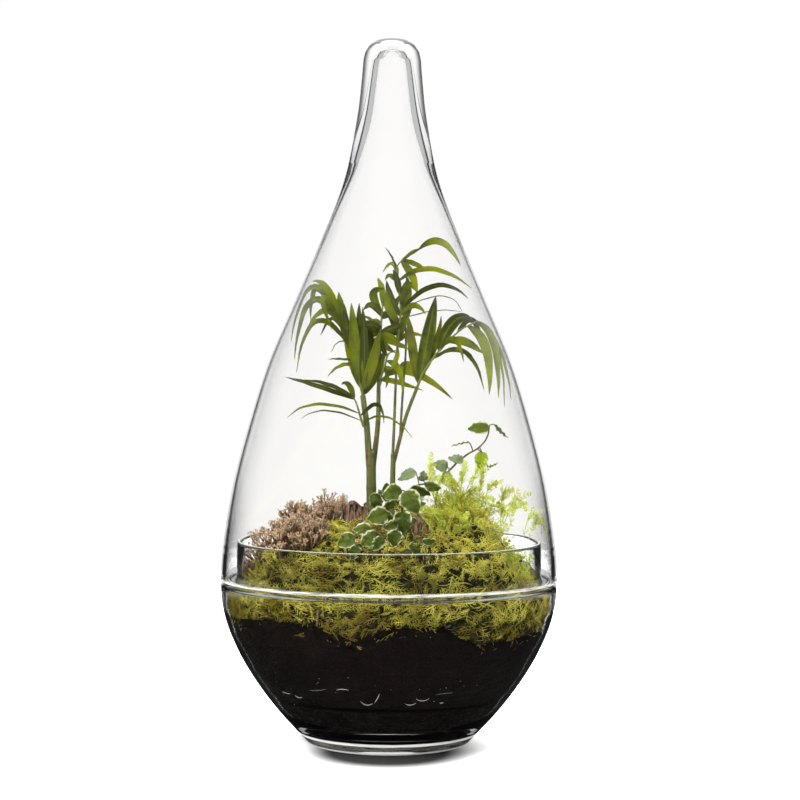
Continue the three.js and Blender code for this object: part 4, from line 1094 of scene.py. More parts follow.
@dataclass(frozen=True)
class FigLeaf(Finish):
    """Variegated creeping fig: green blades with grey-green clouds and cream margins, on brown stems."""

    green: Colour
    cloud: Colour
    cream: Colour
    stem: Colour
    glow: Colour

    def dress(self, shader: Shader) -> None:
        """The margin follows the outline and wanders with noise. Side veins leave the midrib at a slant."""
        along, across, tone = shader.growth()
        woody = shader.woody()
        side = abs(across)
        wander = shader.noise(260.0, 3.0)
        patch = shader.noise(140.0, 2.0)
        rim = (side + wander * 0.62 + (along - 0.5) ** 2 * 0.8 + tone * 0.16 - 0.38).between(0.86, 0.96)
        slant = ((along - side * 0.35) * 34.0).sine() * 0.5 + 0.5
        vein = slant.between(0.86, 1.0) + 1 - side.between(0.02, 0.09)
        young = (tone * 1.3 + patch - 0.7).between(0.2, 1.0) * 0.75
        fresh = shader.mix(young, self.green, (0.14, 0.185, 0.008))
        misty = (wander + side * 0.25 + tone * 0.15).between(0.66, 0.80) * 0.7
        clouded = shader.mix(misty, fresh, self.cloud)
        veined = shader.mix(vein * 0.3, clouded, (0.15, 0.24, 0.06))
        leaf = shader.mix(rim, veined, self.cream)
        x, _, z = shader.split(shader.place())
        runner = z.between(0.184, 0.188) * (1 - z.between(0.206, 0.208)) * (1 - woody)
        lime = shader.mix(runner * x.between(0.057, 0.060) * 0.8, leaf, (0.38, 0.46, 0.02))
        dusty = runner * (1 - x.between(0.053, 0.056)) * (0.35 + 0.5 * wander)
        pale = shader.mix(dusty, lime, (0.40, 0.46, 0.27))
        pucker = (side * 3.0).sine() * 0.8 - vein + wander * 1.6
        face = shader.surface(
            Base_Color=shader.mix(woody, pale, self.stem), Roughness=0.5 + 0.15 * wander,
            Specular_IOR_Level=0.3, Normal=shader.bump(pucker, 0.30),
        )
        shader.close_lit(0.34 * (1 - woody), face, self.glow)


GLASS = ClearGlass("blown_clear_glass", "glass")
GRAVEL = Crumbs("drainage_gravel", "gravel", (0.002, 0.0014, 0.0012), (0.012, 0.008, 0.006), 2.2, 0.5, 0.5)
SOIL = Crumbs("potting_soil_crumbs", "soil", (0.0016, 0.0010, 0.0008), (0.014, 0.0085, 0.007), 1.6, 0.9)
MOSS = Strands(
    "moss_strands", "moss", (0.036, 0.024, 0.004), (0.26, 0.212, 0.012), (0.80, 0.72, 0.125),
    (0.16, 0.090, 0.024), (0.62, 0.61, 0.05),
)
SPIKEMOSS = Strands(
    "spikemoss_scales", "spikemoss", (0.11, 0.13, 0.008), (0.46, 0.54, 0.03), (0.86, 0.92, 0.20),
    (0.50, 0.46, 0.05), (0.84, 0.93, 0.07),
)
LICHEN = Coral("reindeer_lichen", "lichen", (0.105, 0.054, 0.024), (0.70, 0.49, 0.315), (0.070, 0.044, 0.016))
GREY_LICHEN = Coral("grey_lichen", "lichen_grey", (0.48, 0.42, 0.35), (0.90, 0.86, 0.79), (0.45, 0.38, 0.30))
BARK = Bark("weathered_bark", "bark", (0.050, 0.026, 0.015), (0.27, 0.16, 0.095))
CANE = Cane("palm_cane_skin", "cane", (0.085, 0.105, 0.022), (0.115, 0.078, 0.034))
PALM = PalmLeaf(
    "parlour_palm_leaf", "palm_leaf", (0.021, 0.031, 0.003), (0.165, 0.200, 0.005), (0.036, 0.033, 0.004),
    (0.17, 0.19, 0.03), (0.60, 0.62, 0.006),
)
FIG = FigLeaf(
    "creeping_fig_leaf", "fig_leaf", (0.036, 0.058, 0.003), (0.155, 0.20, 0.066), (0.80, 0.77, 0.50),
    (0.16, 0.115, 0.055), (0.34, 0.42, 0.01),
)


# Sub-assemblies


@dataclass
class SubAssembly:
    """A part of the terrarium that builds its own pieces and dresses them."""

    seed: int = 1

    def __post_init__(self) -> None:
        """Starts this part's own run of random numbers."""
        self.random = np.random.default_rng(self.seed)

    def draw(self, low: float, high: float, count: int) -> Array:
        """Even random numbers between two limits."""
        return self.random.uniform(low, high, count)

    def place(self, stock: MeshStock, name: str, node: str, finish: Finish) -> None:
        """Makes the piece that stands for a CAD node, and lets it ride on the one body.

        Args:
            stock: the piece's skins.
            name: its name.
            node: the CAD node that it replaces.
            finish: its finish.
        """
        piece = stock.build(name, finish.material())
        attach(piece, "root")
        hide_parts(node)
        faces = sum(len(q) * 2 for q in stock.quads) + sum(len(t) for t in stock.triangles)
        log.info("%s stands for %s: %d triangles", name, node, faces)

    def build(self) -> None:
        """Builds every piece."""
        raise NotImplementedError


@dataclass
class GlassShells(SubAssembly):
    """The blown bowl with its neck, and the drop-shaped dome that rests on the bowl's shoulder."""

    sides: int = 160
    corner: float = 0.9

    def bowl_profile(self) -> Array:
        """Foot, outer wall, shoulder, neck and inner wall, from the axis back to the axis."""
        outer, inner = smooth_path(BOWL_OUTSIDE, 40), smooth_path(BOWL_INSIDE, 40)
        foot = [[0, 2.5], [30, 1.8], [48, 0.3], [52, 0], [56, 0]]
        return rounded(np.vstack([foot, outer, BOWL_NECK, inner, [[0, 8.6]]]), self.corner, 4)

    def dome_profile(self) -> Array:
        """Inner wall down to the bottom edge, then the outer wall up to the solid tip."""
        inner, outer = smooth_path(DOME_INSIDE, 64), smooth_path(DOME_OUTSIDE, 72)
        edge = [inner[-1] + [0.9, 0], outer[0] - [0.9, 0]]
        return rounded(np.vstack([inner, edge, outer]), self.corner, 3)

    def build(self) -> None:
        """Turns both profiles round the axis."""
        bowl, dome = turned(self.bowl_profile(), self.sides), turned(self.dome_profile(), self.sides)
        self.place(MeshStock().add(bowl), "bowl_blown_glass", "glass_bowl", GLASS)
        self.place(MeshStock().add(dome), "dome_blown_glass", "glass_dome", GLASS)


@dataclass
class Ground(SubAssembly):
    """The drainage layer and the potting soil."""

    pebbles: int = 900
    sides: int = 224
    glint_specks: int = 18

    # Runs of painted glints where wet soil meets the glass: degrees round the axis, height, length, rise and
    # turn.
    glint_runs: ClassVar[Array] = np.array(
        [[-142, 45, 9, -0.3, 0.4], [-134, 43.5, 7, -0.7, 1.3], [-124, 49, 15, 0.0, 0.3],
         [-101.5, 43.5, 10, -1.1, 2.0], [-95.6, 42.5, 8, 0.9, 0.3], [-82.5, 42, 8, -0.6, 1.3],
         [-78, 45.5, 10, -0.7, 1.4], [-70, 48, 13, 0.15, -0.2], [-67, 42, 3, -0.8, 1.6],
         [-111, 51, 9, 0.3, -0.5]]
    )

    def drainage(self) -> MeshStock:
        """A lumpy bed of gravel, with pebbles pressed against the glass.

        Returns:
            The bed and its pebbles.
        """
        z = np.concatenate([[9.7, 10.2], np.linspace(13.1, 35, 40), [35.4, 35.6, 36]])
        r = np.concatenate([[0, 40], wall_radius(z[2:42]) - 1.2, [62, 34, 0]])
        lumps = 0.9 * lattice_noise(polar(r[1:-1, None], circle(self.sides), z[1:-1, None]), 3.5, 3)
        stock = MeshStock().add(turned(np.stack([r, z], axis=1), self.sides, lumps))
        angle, height = self.draw(0, 2 * np.pi, self.pebbles), self.draw(14.5, 34, self.pebbles)
        size = self.draw(1.1, 2.6, self.pebbles)
        return stock.add(self.stones(polar(wall_radius(height) - size * 1.1, angle, height), size))

    def stones(self, middle: Array, size: Array) -> Skins:
        """Small rounded stones: ellipsoids with three unequal half axes, turned at random.

        A point is the middle + size times the turned (sin b cos a, 0.8 sin b sin a, 0.7 cos b).

        Args:
            middle: the middle of each stone.
            size: its longest half axis.

        Returns:
            The stones, inside the glass.
        """
        b = np.pi * np.array([0.22, 0.5, 0.78])[:, None]
        ball = polar(np.sin(b), circle(6), np.cos(b)) * [1, 0.8, 0.7]
        u = unit(self.random.normal(size=(len(size), 3)))
        v = unit(np.cross(u, self.random.normal(size=(len(size), 3))))
        axes = np.stack([u, v, np.cross(u, v)], axis=1)
        grid = middle[:, None, None] + size[:, None, None, None] * np.einsum("rkj,njl->nrkl", ball, axes)
        tops = [middle + s * 0.7 * size[:, None] * axes[:, 2] for s in (1, -1)]
        inside = (inside_glass(part, 0.6) for part in (grid, *tops))
        return Skins.made(*inside, tone=self.draw(0, 0.6, len(size)))

    def soil(self) -> MeshStock:
        """The soil's skin: a flat floor, a wall that follows the glass, and a crown that rises to the middle.

        The wall's points sink in by up to 1.5 mm of noise, which leaves small hollows behind the glass.

        Returns:
            The soil, and the painted glints on it.
        """
        turn = circle(self.sides)
        wall_z = 37.6 + (soil_edge(turn) - 37.6) * np.linspace(0, 1, 64)[:, None]
        crown_r = np.array([100.0, 85, 70, 50, 25, 0])[:, None] + 0 * turn
        r = np.vstack([0 * turn, 0 * turn + 62, wall_radius(wall_z), crown_r])
        z = np.vstack([0 * turn + 36.8, 0 * turn + 37.2, wall_z, soil_top(crown_r, turn)])
        bare = polar(r, turn, z)[1:-1]
        rough = lattice_noise(bare, 2.6, 5) + 0.6 * lattice_noise(bare, 7.0, 6)
        rough = rough + 0.5 * lattice_noise(bare, 1.4, 7)
        sink = -np.clip(0.55 + 0.6 * rough, 0.0, 1.5)
        return MeshStock().add(turned(np.stack([r, z], axis=-1), self.sides, sink), *self.glints())

    def glints(self) -> list[Skins]:
        """Painted glints between soil and glass, low in the bowl: pale marks that stand for light on wet
        glass.

        Returns:
            Short curved runs of painted glint, and small painted glint specks.
        """
        angle, height, length, rise, turn = self.glint_runs.T
        way, z = strip_curls(height, rise, -turn, length, 9)
        r = wall_radius(z) + 0.05
        paths = polar(r, np.radians(angle)[:, None] + way / r, z)
        swell = 0.03 + 0.15 * np.sin(np.pi * np.linspace(0, 1, 9)) ** 0.5
        thin = swell[None] * (18 / (18 + length))[:, None]
        spot, low = self.draw(-2.6, -0.6, self.glint_specks), self.draw(36, 62, self.glint_specks)
        glint_specks = self.stones(polar(wall_radius(low) - 0.2, spot, low), self.draw(0.14, 0.34, self.glint_specks))
        # The woody mark sets how pale each painted glint is: 0.4 for specks, 0.3 for long runs, 0.85 for
        # short ones.
        for part in glint_specks.parts:
            part[..., WOODY] = 0.4
        return [tubes(paths, thin, 5, woody=np.where(length > 12, 0.3, 0.85)), glint_specks]

    def build(self) -> None:
        """Builds the gravel and then the soil."""
        self.place(self.drainage(), "drainage_gravel_bed", "drainage_layer", GRAVEL)
        self.place(self.soil(), "potting_soil_bed", "potting_soil", SOIL)


def twig_groove(x: Array, y: Array, z: Array) -> Array:
    """How far the moss behind the glass is drawn in before the two twigs, up to 9 mm."""
    left = np.exp(-(((x + 46.4) / 2.6) ** 2)) * (z > 79) * (z < 109)
    right = np.exp(-(((x - 40.5) / 6.5) ** 2) - ((z - 94.5) / 4.5) ** 2)
    return 9.0 * np.maximum(left, right) * (y < 0)


@dataclass
class MossBed(SubAssembly):
    """A ring of four moss cushions and a round one in the middle, each with its strands."""

    top_sprigs: int = 1500
    wall_sprigs: int = 1500
    loose_strands: int = 4400
    barbs: int = 6
    thickness: float = 0.42

    # How high the moss climbs at the glass: degrees round the axis, and height.
    wall_top: ClassVar[Array] = np.array(
        [[-180, 114], [-158, 116], [-146, 128], [-134, 136], [-45, 137], [-38, 132], [-30, 118], [-14, 112],
         [14, 112], [30, 118], [40, 130], [60, 136], [134, 134], [150, 124], [165, 115], [180, 114]]
    )

    # The sides of the lathe at which each cushion starts and ends.
    ring: dict[str, tuple[int, int]] = field(
        default_factory=lambda: {"front": (-11, -3), "right": (-3, 3), "back": (3, 11), "left": (11, 17)}
    )

    def section(self, angle: Array) -> Array:
        """The upright section of the ring: over the soil, up the glass and back over the top.

        Args:
            angle: where round the axis each section stands.

        Returns:
            Radius and height of its points.
        """
        edge = soil_edge(angle)[:, None] + SOIL_GAP
        neck_r = NECK_INNER_R - 5.2
        low_r = np.linspace(MOSS_MIDDLE_R + 0.4, 96, 9)[None] * np.ones_like(edge)
        low_z = soil_top(low_r, angle[:, None]) + SOIL_GAP
        wall_z = edge + (112.5 - edge) * np.linspace(0, 1, 12)[None]
        neck_z = np.linspace(114, 127, 5)[None] * np.ones_like(edge)
        top_r = np.linspace(neck_r, MOSS_MIDDLE_R + 0.4, 24)[None] * np.ones_like(edge)
        top_z = moss_roof(top_r * np.cos(angle)[:, None], top_r * np.sin(angle)[:, None]) - STRANDS_STAND
        top_z = np.minimum(top_z, self.limit(angle)[:, None] - 4 + 1.4 * (neck_r - top_r))
        neck_z = np.minimum(neck_z, top_z[:, :1])
        sunk = 1.3 + 4.2 * np.linspace(0, 1, 12)[None] ** 0.5
        r = np.hstack([low_r, wall_radius(wall_z) - sunk, np.full_like(neck_z, NECK_INNER_R - 4.8), top_r])
        return np.stack([r, np.hstack([low_z, wall_z, neck_z, top_z])], axis=-1)

    def limit(self, angle: Array) -> Array:
        """The height to which the moss climbs at the glass."""
        return np.interp(np.degrees(angle), self.wall_top[:, 0], self.wall_top[:, 1], period=360)

    def cushion(self, first: int, last: int) -> Skins:
        """The dark body under the strands, partly peat and partly painted shade: the section carried round
        between two sides of the lathe.

        Args:
            first: the side where it starts.
            last: the side where it ends.

        Returns:
            The cushion.
        """
        angle = 2 * np.pi / LATHE_SIDES * np.linspace(first + 0.03, last - 0.03, 12 * (last - first))
        section = self.section(angle)
        angle = angle[:, None]
        r, z = section[..., 0], section[..., 1]
        groove = twig_groove(r * np.cos(angle), r * np.sin(angle), z) * 0.7
        grid = polar(r - np.where(r > 100, groove, 0), angle, z)
        grid[..., 2] += np.where(z > 118, 1.6 * lattice_noise(grid, 6.0, 8), 0)
        ends = [grid[i].mean(axis=0)[None] for i in (0, -1)]
        return Skins.made(inside_glass(grid, 0.9)[None], *ends, woody=1.0)

    def strands(self, paths: Array, thickness: Array, tone: Array) -> Skins:
        """Thin three-sided strands that taper to both ends.

        Args:
            paths: the strands' points.
            thickness: the widest radius of each.
            tone: its shade.

        Returns:
            The strands.
        """
        taper = np.interp(np.linspace(0, 1, paths.shape[1] - 2), [0, 0.4, 1], [0.75, 1.0, 0.55])
        whole = tubes(paths[:, 1:-1], thickness[:, None] * taper, 3, tone)
        whole.first[:, :3], whole.last[:, :3] = paths[:, 0], paths[:, -1]
        return whole

    def sprigs(self, paths: Array, margin: float) -> list[Skins]:
        """Feathery sprigs: a stem along each path, with barbs in a row on either side.

        A barb leaves the stem at 55 degrees, bends on towards the stem's tip and sinks at its end. Its length
        follows the stem's as (0.35 + sin(pi t)) of a fifth.

        Args:
            paths: the stems.
            margin: how far they keep clear of the glass.

        Returns:
            The stems and their barbs.
        """
        count = len(paths)
        tone = self.draw(0, 1, count)
        size = np.linalg.norm(np.diff(paths, axis=1), axis=2).sum(axis=1)
        skins = [self.strands(paths, self.thickness * self.draw(0.9, 1.25, count), tone)]
        t = np.linspace(0.14, 0.92, self.barbs)
        root, along = stations(paths, t)
        outward = unit(root * [1, 1, 0] + [0, 0, 0.01])
        side = unit(np.cross(along, unit(outward + 0.5 * self.random.normal(size=(count, 1, 3)))))
        swell = size[:, None] * 0.2 * (0.35 + np.sin(np.pi * t))
        for hand in (-1, 1):
            length = (swell * self.random.uniform(0.7, 1.25, (count, self.barbs)))[..., None]
            start = (0.57 * along + 0.82 * hand * side) * length
            finish = (0.95 * along + 0.31 * hand * side) * length * 0.75 - [0, 0, 0.25]
            points = [root + s * start + s**2 * (finish - 0.6 * start) * 0.6 for s in (0, 0.5, 1)]
            base, middle, tip = (point.reshape(-1, 3) for point in points)
            thick = self.thickness * self.draw(0.6, 0.9, len(base))
            skins.append(spindles(base, middle, tip, thick, np.repeat(tone, self.barbs)))
        return [k.drawn_in(margin) for k in skins]

    def over_top(self, angle: Array, r: Array, steps: int, reach: tuple[float, float] = (9, 18)) -> Array:
        """Paths that arch out of the cushion's top in all directions, longer on the hill.

        Args:
            angle: where round the axis each path starts.
            r: how far from the axis.
            steps: points along it.
            reach: the shortest and the longest.

        Returns:
            The paths, shorter at both sides of the neck.
        """
        count = len(angle)
        x, y = r * np.cos(angle), r * np.sin(angle)
        hill = bell(x - 60, y, 26)
        aside = np.clip((np.abs(x) - 72) / 16, 0, 1)
        start = np.stack([x, y, moss_roof(x, y) + self.draw(-3.5, 0.8, count) - 3 * aside], axis=1)
        length = self.draw(*reach, count) * (1 + 0.3 * hill - 0.5 * aside)
        rise, droop = self.draw(0.2, 1.3, count) + 0.2 * hill, self.draw(0.4, 2.2, count)
        heading, turn = self.draw(0, 2 * np.pi, count), self.draw(-1.3, 1.3, count)
        return curls(start, heading, turn, rise, droop, length, steps)

    def on_wall(
        self, angle: Array, deepest: float, steps: int, reach: tuple[float, float] = (9, 20)
    ) -> Array:
        """Paths behind the glass, from the soil's edge up to the top of the cushion.

        They are laid on a flat strip of arc length against height, and the strip is then wrapped round the
        inside of the glass, each path at its own depth, with grooves before the twigs.

        Args:
            angle: where round the axis each path starts.
            deepest: how far behind the glass one may lie.
            steps: points along it.
            reach: the shortest and the longest.

        Returns:
            The paths.
        """
        count = len(angle)
        top = self.limit(angle)
        low = soil_edge(angle) + self.draw(-5, 5, count) + 2.5 * np.sin(13 * angle) * np.sin(5.3 * angle + 1)
        height = low + (top - low) * self.draw(0, 1, count) ** 1.2
        ahead = self.draw(0, 1, count) < 0.5
        lie = np.where(ahead, self.draw(-0.9, 0.7, count), self.draw(2.4, 4.1, count))
        way, z = strip_curls(height, lie, self.draw(-1.8, 1.8, count), self.draw(*reach, count), steps)
        z = np.clip(z, soil_edge(angle)[:, None] - 6.5, (top + 4)[:, None])
        neck = np.where(z > NECK_FOOT_Z, NECK_INNER_R, radius_at(BOWL_INSIDE, z))
        r = neck - (self.draw(0.95, deepest, count)[:, None] + 1.2 * np.linspace(-1, 1, steps) ** 2)
        turn = angle[:, None] + way / r
        return polar(r - twig_groove(r * np.cos(turn), r * np.sin(turn), z), turn, z)

    def dressed(self, low: float, high: float, share: float) -> list[Skins]:
        """Sprigs and loose strands over the top and the wall of one stretch of the ring.

        Args:
            low: the angle where the stretch starts.
            high: the angle where it ends.
            share: its share of the ring.

        Returns:
            The sprigs and strands.
        """
        top, wall, loose = (int(n * share) for n in (self.top_sprigs, self.wall_sprigs, self.loose_strands))
        half = loose // 2
        reach = (MOSS_MIDDLE_R**2, (NECK_INNER_R - 1) ** 2)
        skins = self.sprigs(self.over_top(self.draw(low, high, top), np.sqrt(self.draw(*reach, top)), 6), 0.7)
        skins += self.sprigs(self.on_wall(self.draw(low, high, wall), 5.0, 6), 0.6)
        wild = [
            self.over_top(self.draw(low, high, half), np.sqrt(self.draw(*reach, half)), 4, (5, 13)),
            self.on_wall(self.draw(low, high, half), 2.6, 4, (4, 12)),
        ]
        for paths in wild:
            thick = self.thickness * self.draw(0.45, 0.85, len(paths))
            skins.append(self.strands(paths, thick, self.draw(0, 1, len(paths))).drawn_in(0.6))
        return skins

    def build(self) -> None:
        """Builds the ring's four cushions and the middle one."""
        for name, (first, last) in self.ring.items():
            low, high = 2 * np.pi * first / LATHE_SIDES, 2 * np.pi * last / LATHE_SIDES
            stock = MeshStock().add(self.cushion(first, last))
            stock.add(*self.dressed(low, high, (last - first) / LATHE_SIDES))
            self.place(stock, f"moss_{name}_strands", f"moss_{name}", MOSS)
        turn = circle(64)
        r = np.array([0, 29.6, 29.6, 22, 12, 0])[:, None] + 0 * turn
        top = moss_top(r[2:] * np.cos(turn), r[2:] * np.sin(turn)) - STRANDS_STAND
        z = np.vstack([soil_top(r[:2], turn) + SOIL_GAP, top])
        body = turned(np.stack([r, z], axis=-1), 64)
        body.grid[..., WOODY] = 1.0
        count = self.top_sprigs // 10
        angle, out = self.draw(0, 2 * np.pi, count), np.sqrt(self.draw(0, MOSS_MIDDLE_R**2, count))
        stock = MeshStock().add(body, *self.sprigs(self.over_top(angle, out, 6), 0.7))
        self.place(stock, "moss_middle_strands", "moss_middle", MOSS)


@dataclass(frozen=True)
class Twiglets:
    """Short straight branchlets: where each starts, where it points, its length, thickness and tone."""

    start: Array
    way: Array
    length: Array
    thickness: Array
    tone: Array

    @property
    def end(self) -> Array:
        """Where each branchlet ends."""
        return self.start + self.way * self.length[:, None]


@dataclass
class LichenBed(SubAssembly):
    """Tufts of reindeer lichen, each a thicket of forked branchlets."""

    # Each tuft's place to the right and away from the eye, its foot's radius and its height.
    tufts: dict[str, tuple[float, float, float, float]] = field(
        default_factory=lambda: {
            "lichen_tuft_1": (-82, -28, 16, 26),
            "lichen_tuft_2": (-60, -58, 17, 27),
            "lichen_tuft_3": (-68, 20, 16, 26),
            "lichen_tuft_4": (-43, -3, 11, 32),
            "lichen_tuft_grey": (-35, 15, 8.5, 27),
        }
    )
    per_area: float = 0.105

    def forked(self, parents: Twiglets, children: int, spread: float, shrink: float, thin: float) -> Twiglets:
        """Branchlets that leave the ends of others.

        Each child's way is its parent's plus spread times a random direction, drawn a little upwards.

        Args:
            parents: the branchlets that fork.
            children: how many leave each end.
            spread: how far they part.
            shrink: their length over their parent's.
            thin: their thickness over their parent's.

        Returns:
            The children.
        """
        again = np.repeat(np.arange(len(parents.length)), children)
        aside = unit(self.random.normal(size=(len(again), 3)))
        way = unit(parents.way[again] + spread * aside + [0, 0, 0.34])
        length = parents.length[again] * shrink * self.draw(0.75, 1.2, len(again))
        return Twiglets(parents.end[again], way, length, parents.thickness[again] * thin, parents.tone[again])

    def thicket(self, x: float, y: float, reach: float, height: float) -> list[Skins]:
        """One tuft: trunks all over its foot, and three orders of forks on them.

        Trunks stand at 2.4 radians from one to the next, and lean outwards. Where the moss falls away on the
        left, those on that side lean out further.

        Args:
            x: the middle of the tuft's foot, to the right.
            y: the same, away from the eye.
            reach: the foot's radius.
            height: how high the tuft stands.

        Returns:
            The branchlets.
        """
        count = int(self.per_area * math.pi * reach**2)
        turn = 2.4 * np.arange(count) + self.draw(-0.3, 0.3, count)
        out = np.sqrt((np.arange(count) + 0.5) / count) * 0.98
        foot_x, foot_y = x + out * reach * np.cos(turn), y + out * reach * np.sin(turn)
        ground = moss_top(foot_x, foot_y)
        clump = 0.5 + 0.5 * np.sin(0.52 * foot_x + 1.7 * y) * np.cos(0.57 * foot_y + x)
        clump = np.maximum(clump, np.exp(-((out / 0.4) ** 2)))
        top = height * (1 - 0.35 * out**2) * (0.54 + 0.46 * clump) * self.draw(0.82, 1.0, count)
        rooted = (ground - moss_roof(foot_x, foot_y)) * self.draw(0.15, 1.0, count)
        start = np.stack([foot_x, foot_y, ground + top * 0.1 - rooted], axis=1)
        aside = 0.45 * out * np.cos(turn) - 0.5 * (x < -80) * (np.cos(turn) < 0.3)
        lean = np.stack([aside, 0.45 * out * np.sin(turn), np.ones(count)], axis=1)
        way = unit(lean + 0.2 * self.random.normal(size=(count, 3)))
        order = [Twiglets(start, way, top * 0.4, np.full(count, 0.64), self.draw(0, 1, count))]
        for fork in ((3, 0.55, 0.55, 0.78), (3, 0.65, 0.66, 0.78), (4, 0.9, 0.46, 0.8)):
            order.append(self.forked(order[-1], *fork))
        skins = []
        for level, twigs in enumerate(order):
            share = np.array([0.0, 0.94])
            paths = twigs.start[:, None] + twigs.way[:, None] * (twigs.length[:, None] * share)[..., None]
            made = tubes(paths, twigs.thickness[:, None] * np.array([1.05, 0.68]), 3, twigs.tone, blunt=0.9)
            for part in made.parts:
                part[..., ALONG] = (level + part[..., ALONG]) / len(order)
            if level == len(order) - 1:
                dark = (self.draw(0, 1, len(twigs.length)) < 0.45).astype(float)
                made.grid[..., WOODY] = dark[:, None, None] * share[None, :, None] ** 3
                made.last[..., WOODY] = dark
            skins.append(made.drawn_in(0.8))
        return skins

    def build(self) -> None:
        """Builds every tuft."""
        for node, tuft in self.tufts.items():
            finish = GREY_LICHEN if node.endswith("grey") else LICHEN
            self.place(MeshStock().add(*self.thicket(*tuft)), f"{node}_branchlets", node, finish)


@dataclass
class BarkAndTwigs(SubAssembly):
    """Two bark chips that stand in the moss, and two dark twigs behind the glass."""

    # How far each chip reaches down, and its top edge.
    chips: ClassVar[dict[str, tuple[float, Rows]]] = {
        "bark_chip_left": (
            20, [[-33, -20, 165], [-28, -22, 170], [-22, -23, 169.5], [-17, -22, 166], [-14, -20, 163]],
        ),
        "bark_chip_right": (24, [[14, -58, 160], [18, -60, 161], [23, -59, 159], [28, -56, 155]]),
    }
    twigs: ClassVar[dict[str, Rows]] = {
        "twig_left": [[-45.5, -97.5, 107], [-46.5, -98.5, 95], [-47.5, -97, 84]],
        "twig_right": [[35, -99, 91], [40, -97.5, 95], [46, -95, 97]],
    }
    half_thickness: float = 2.0
    twig_radius: float = 0.9

    def chip(self, drop: float, edge: Rows) -> Skins:
        """A rough slab that hangs from its top edge.

        Round the slab, height follows |cos a|^0.5 and depth |sin a|^0.8, so that it is a flat rounded box. It
        leans back by 0.12 of its depth, and noise of 1.1 mm roughens it.

        Args:
            drop: how far it reaches down.
            edge: its top edge, as it is seen.

        Returns:
            The slab.
        """
        line = smooth_path(along_sight(edge), 56)
        a = circle(40)
        high = np.sign(np.cos(a)) * np.abs(np.cos(a)) ** 0.5
        deep = np.sign(np.sin(a)) * np.abs(np.sin(a)) ** 0.8
        z = line[:, None, 2] + drop * (high - 1) / 2
        y = line[:, None, 1] + self.half_thickness * deep - 0.12 * drop * (1 - high) / 2
        grid = np.stack([line[:, None, 0] + 0 * a, y, z], axis=-1)
        rough = lattice_noise(grid * [1, 1, 0.35], 2.4, 4) + 0.5 * lattice_noise(grid, 1.1, 9)
        grid[..., 1] += 0.8 * rough * np.sign(deep)
        ragged = 2.0 * lattice_noise(grid, 5.0, 15) + 0.8 * lattice_noise(grid, 2.2, 14)
        grid[..., 2] += ragged * np.sign(high)
        return Skins.made(grid[None], *(grid[i].mean(axis=0)[None] for i in (0, -1)))

    def twig(self, path: Rows) -> Skins:
        """A thin knotty twig."""
        line = smooth_path(np.array(path), 30)[None]
        knots = 1 + 0.16 * lattice_noise(line, 2.2, 12) - 0.2 * np.linspace(0, 1, 30)
        return tubes(line, self.twig_radius * knots, 10)

    def build(self) -> None:
        """Builds the chips and the twigs."""
        for node, (drop, edge) in self.chips.items():
            self.place(MeshStock().add(self.chip(drop, edge)), f"{node}_rough", node, BARK)
        for node, path in self.twigs.items():
            self.place(MeshStock().add(self.twig(path)), f"{node}_knotty", node, BARK)


@dataclass
class Foliage(SubAssembly):
    """A plant whose leaves grow on stems."""

    blade: BladeForm = LANCE_BLADE
    stem_radius: float = 1.0
    stem_rings: int = 40

    def leaves_on(self, stem: Array, rows: Rows) -> tuple[Leaves, list[Skins]]:
        """Leaves and the stalks of those that stand off their stem.

        A leaf whose base is within 2.5 mm of the stem starts on the stem, and any other has a curved stalk.

        Args:
            stem: the stem's path.
            rows: base, middle and tip as they are seen, then width and roll.

        Returns:
            The leaves, and the stalks.
        """
        table = np.array(rows, float)
        base, middle, tip = (inside_glass(along_sight(table[:, i : i + 3]), LEAF_MARGIN) for i in (0, 3, 6))
        fine = smooth_path(stem, 49)
        gap = np.linalg.norm(base[:, None] - fine[None], axis=2)
        root = fine[np.argmin(gap, axis=1)]
        off = gap.min(axis=1) >= LEAF_REACH
        base = np.where(off[:, None], base, root)
        leaves = Leaves(base, middle, tip, table[:, 9], table[:, 10], self.draw(0, 1, len(rows)))
        if not off.any():
            return leaves, []
        s = np.linspace(0, 1, 6)[None, :, None]
        run = np.linalg.norm(base[off] - root[off], axis=1)[:, None, None]
        sag = np.array([0, 0, 0.16]) * np.sin(np.pi * s) * run
        end = base[off] + 0.4 * unit(middle[off] - base[off])
        return leaves, [tubes(root[off][:, None] * (1 - s) + end[:, None] * s + sag, 0.42, 6, 0.5, 1.0)]

    def grown(self, line: Array, rows: Rows) -> MeshStock:
        """A stem or rib with its leaves.

        Args:
            line: the stem's points.
            rows: its leaves, as leaves_on reads them.

        Returns:
            The stem, the leaves and their stalks.
        """
        leaves, stalks = self.leaves_on(line, rows)
        radii = np.linspace(self.stem_radius, 0.5, self.stem_rings)
        stem = tubes(smooth_path(line, self.stem_rings)[None], radii, 8, 0.4, 1.0)
        return MeshStock().add(stem, self.blade.skins(leaves).drawn_in(1.2), *stalks)


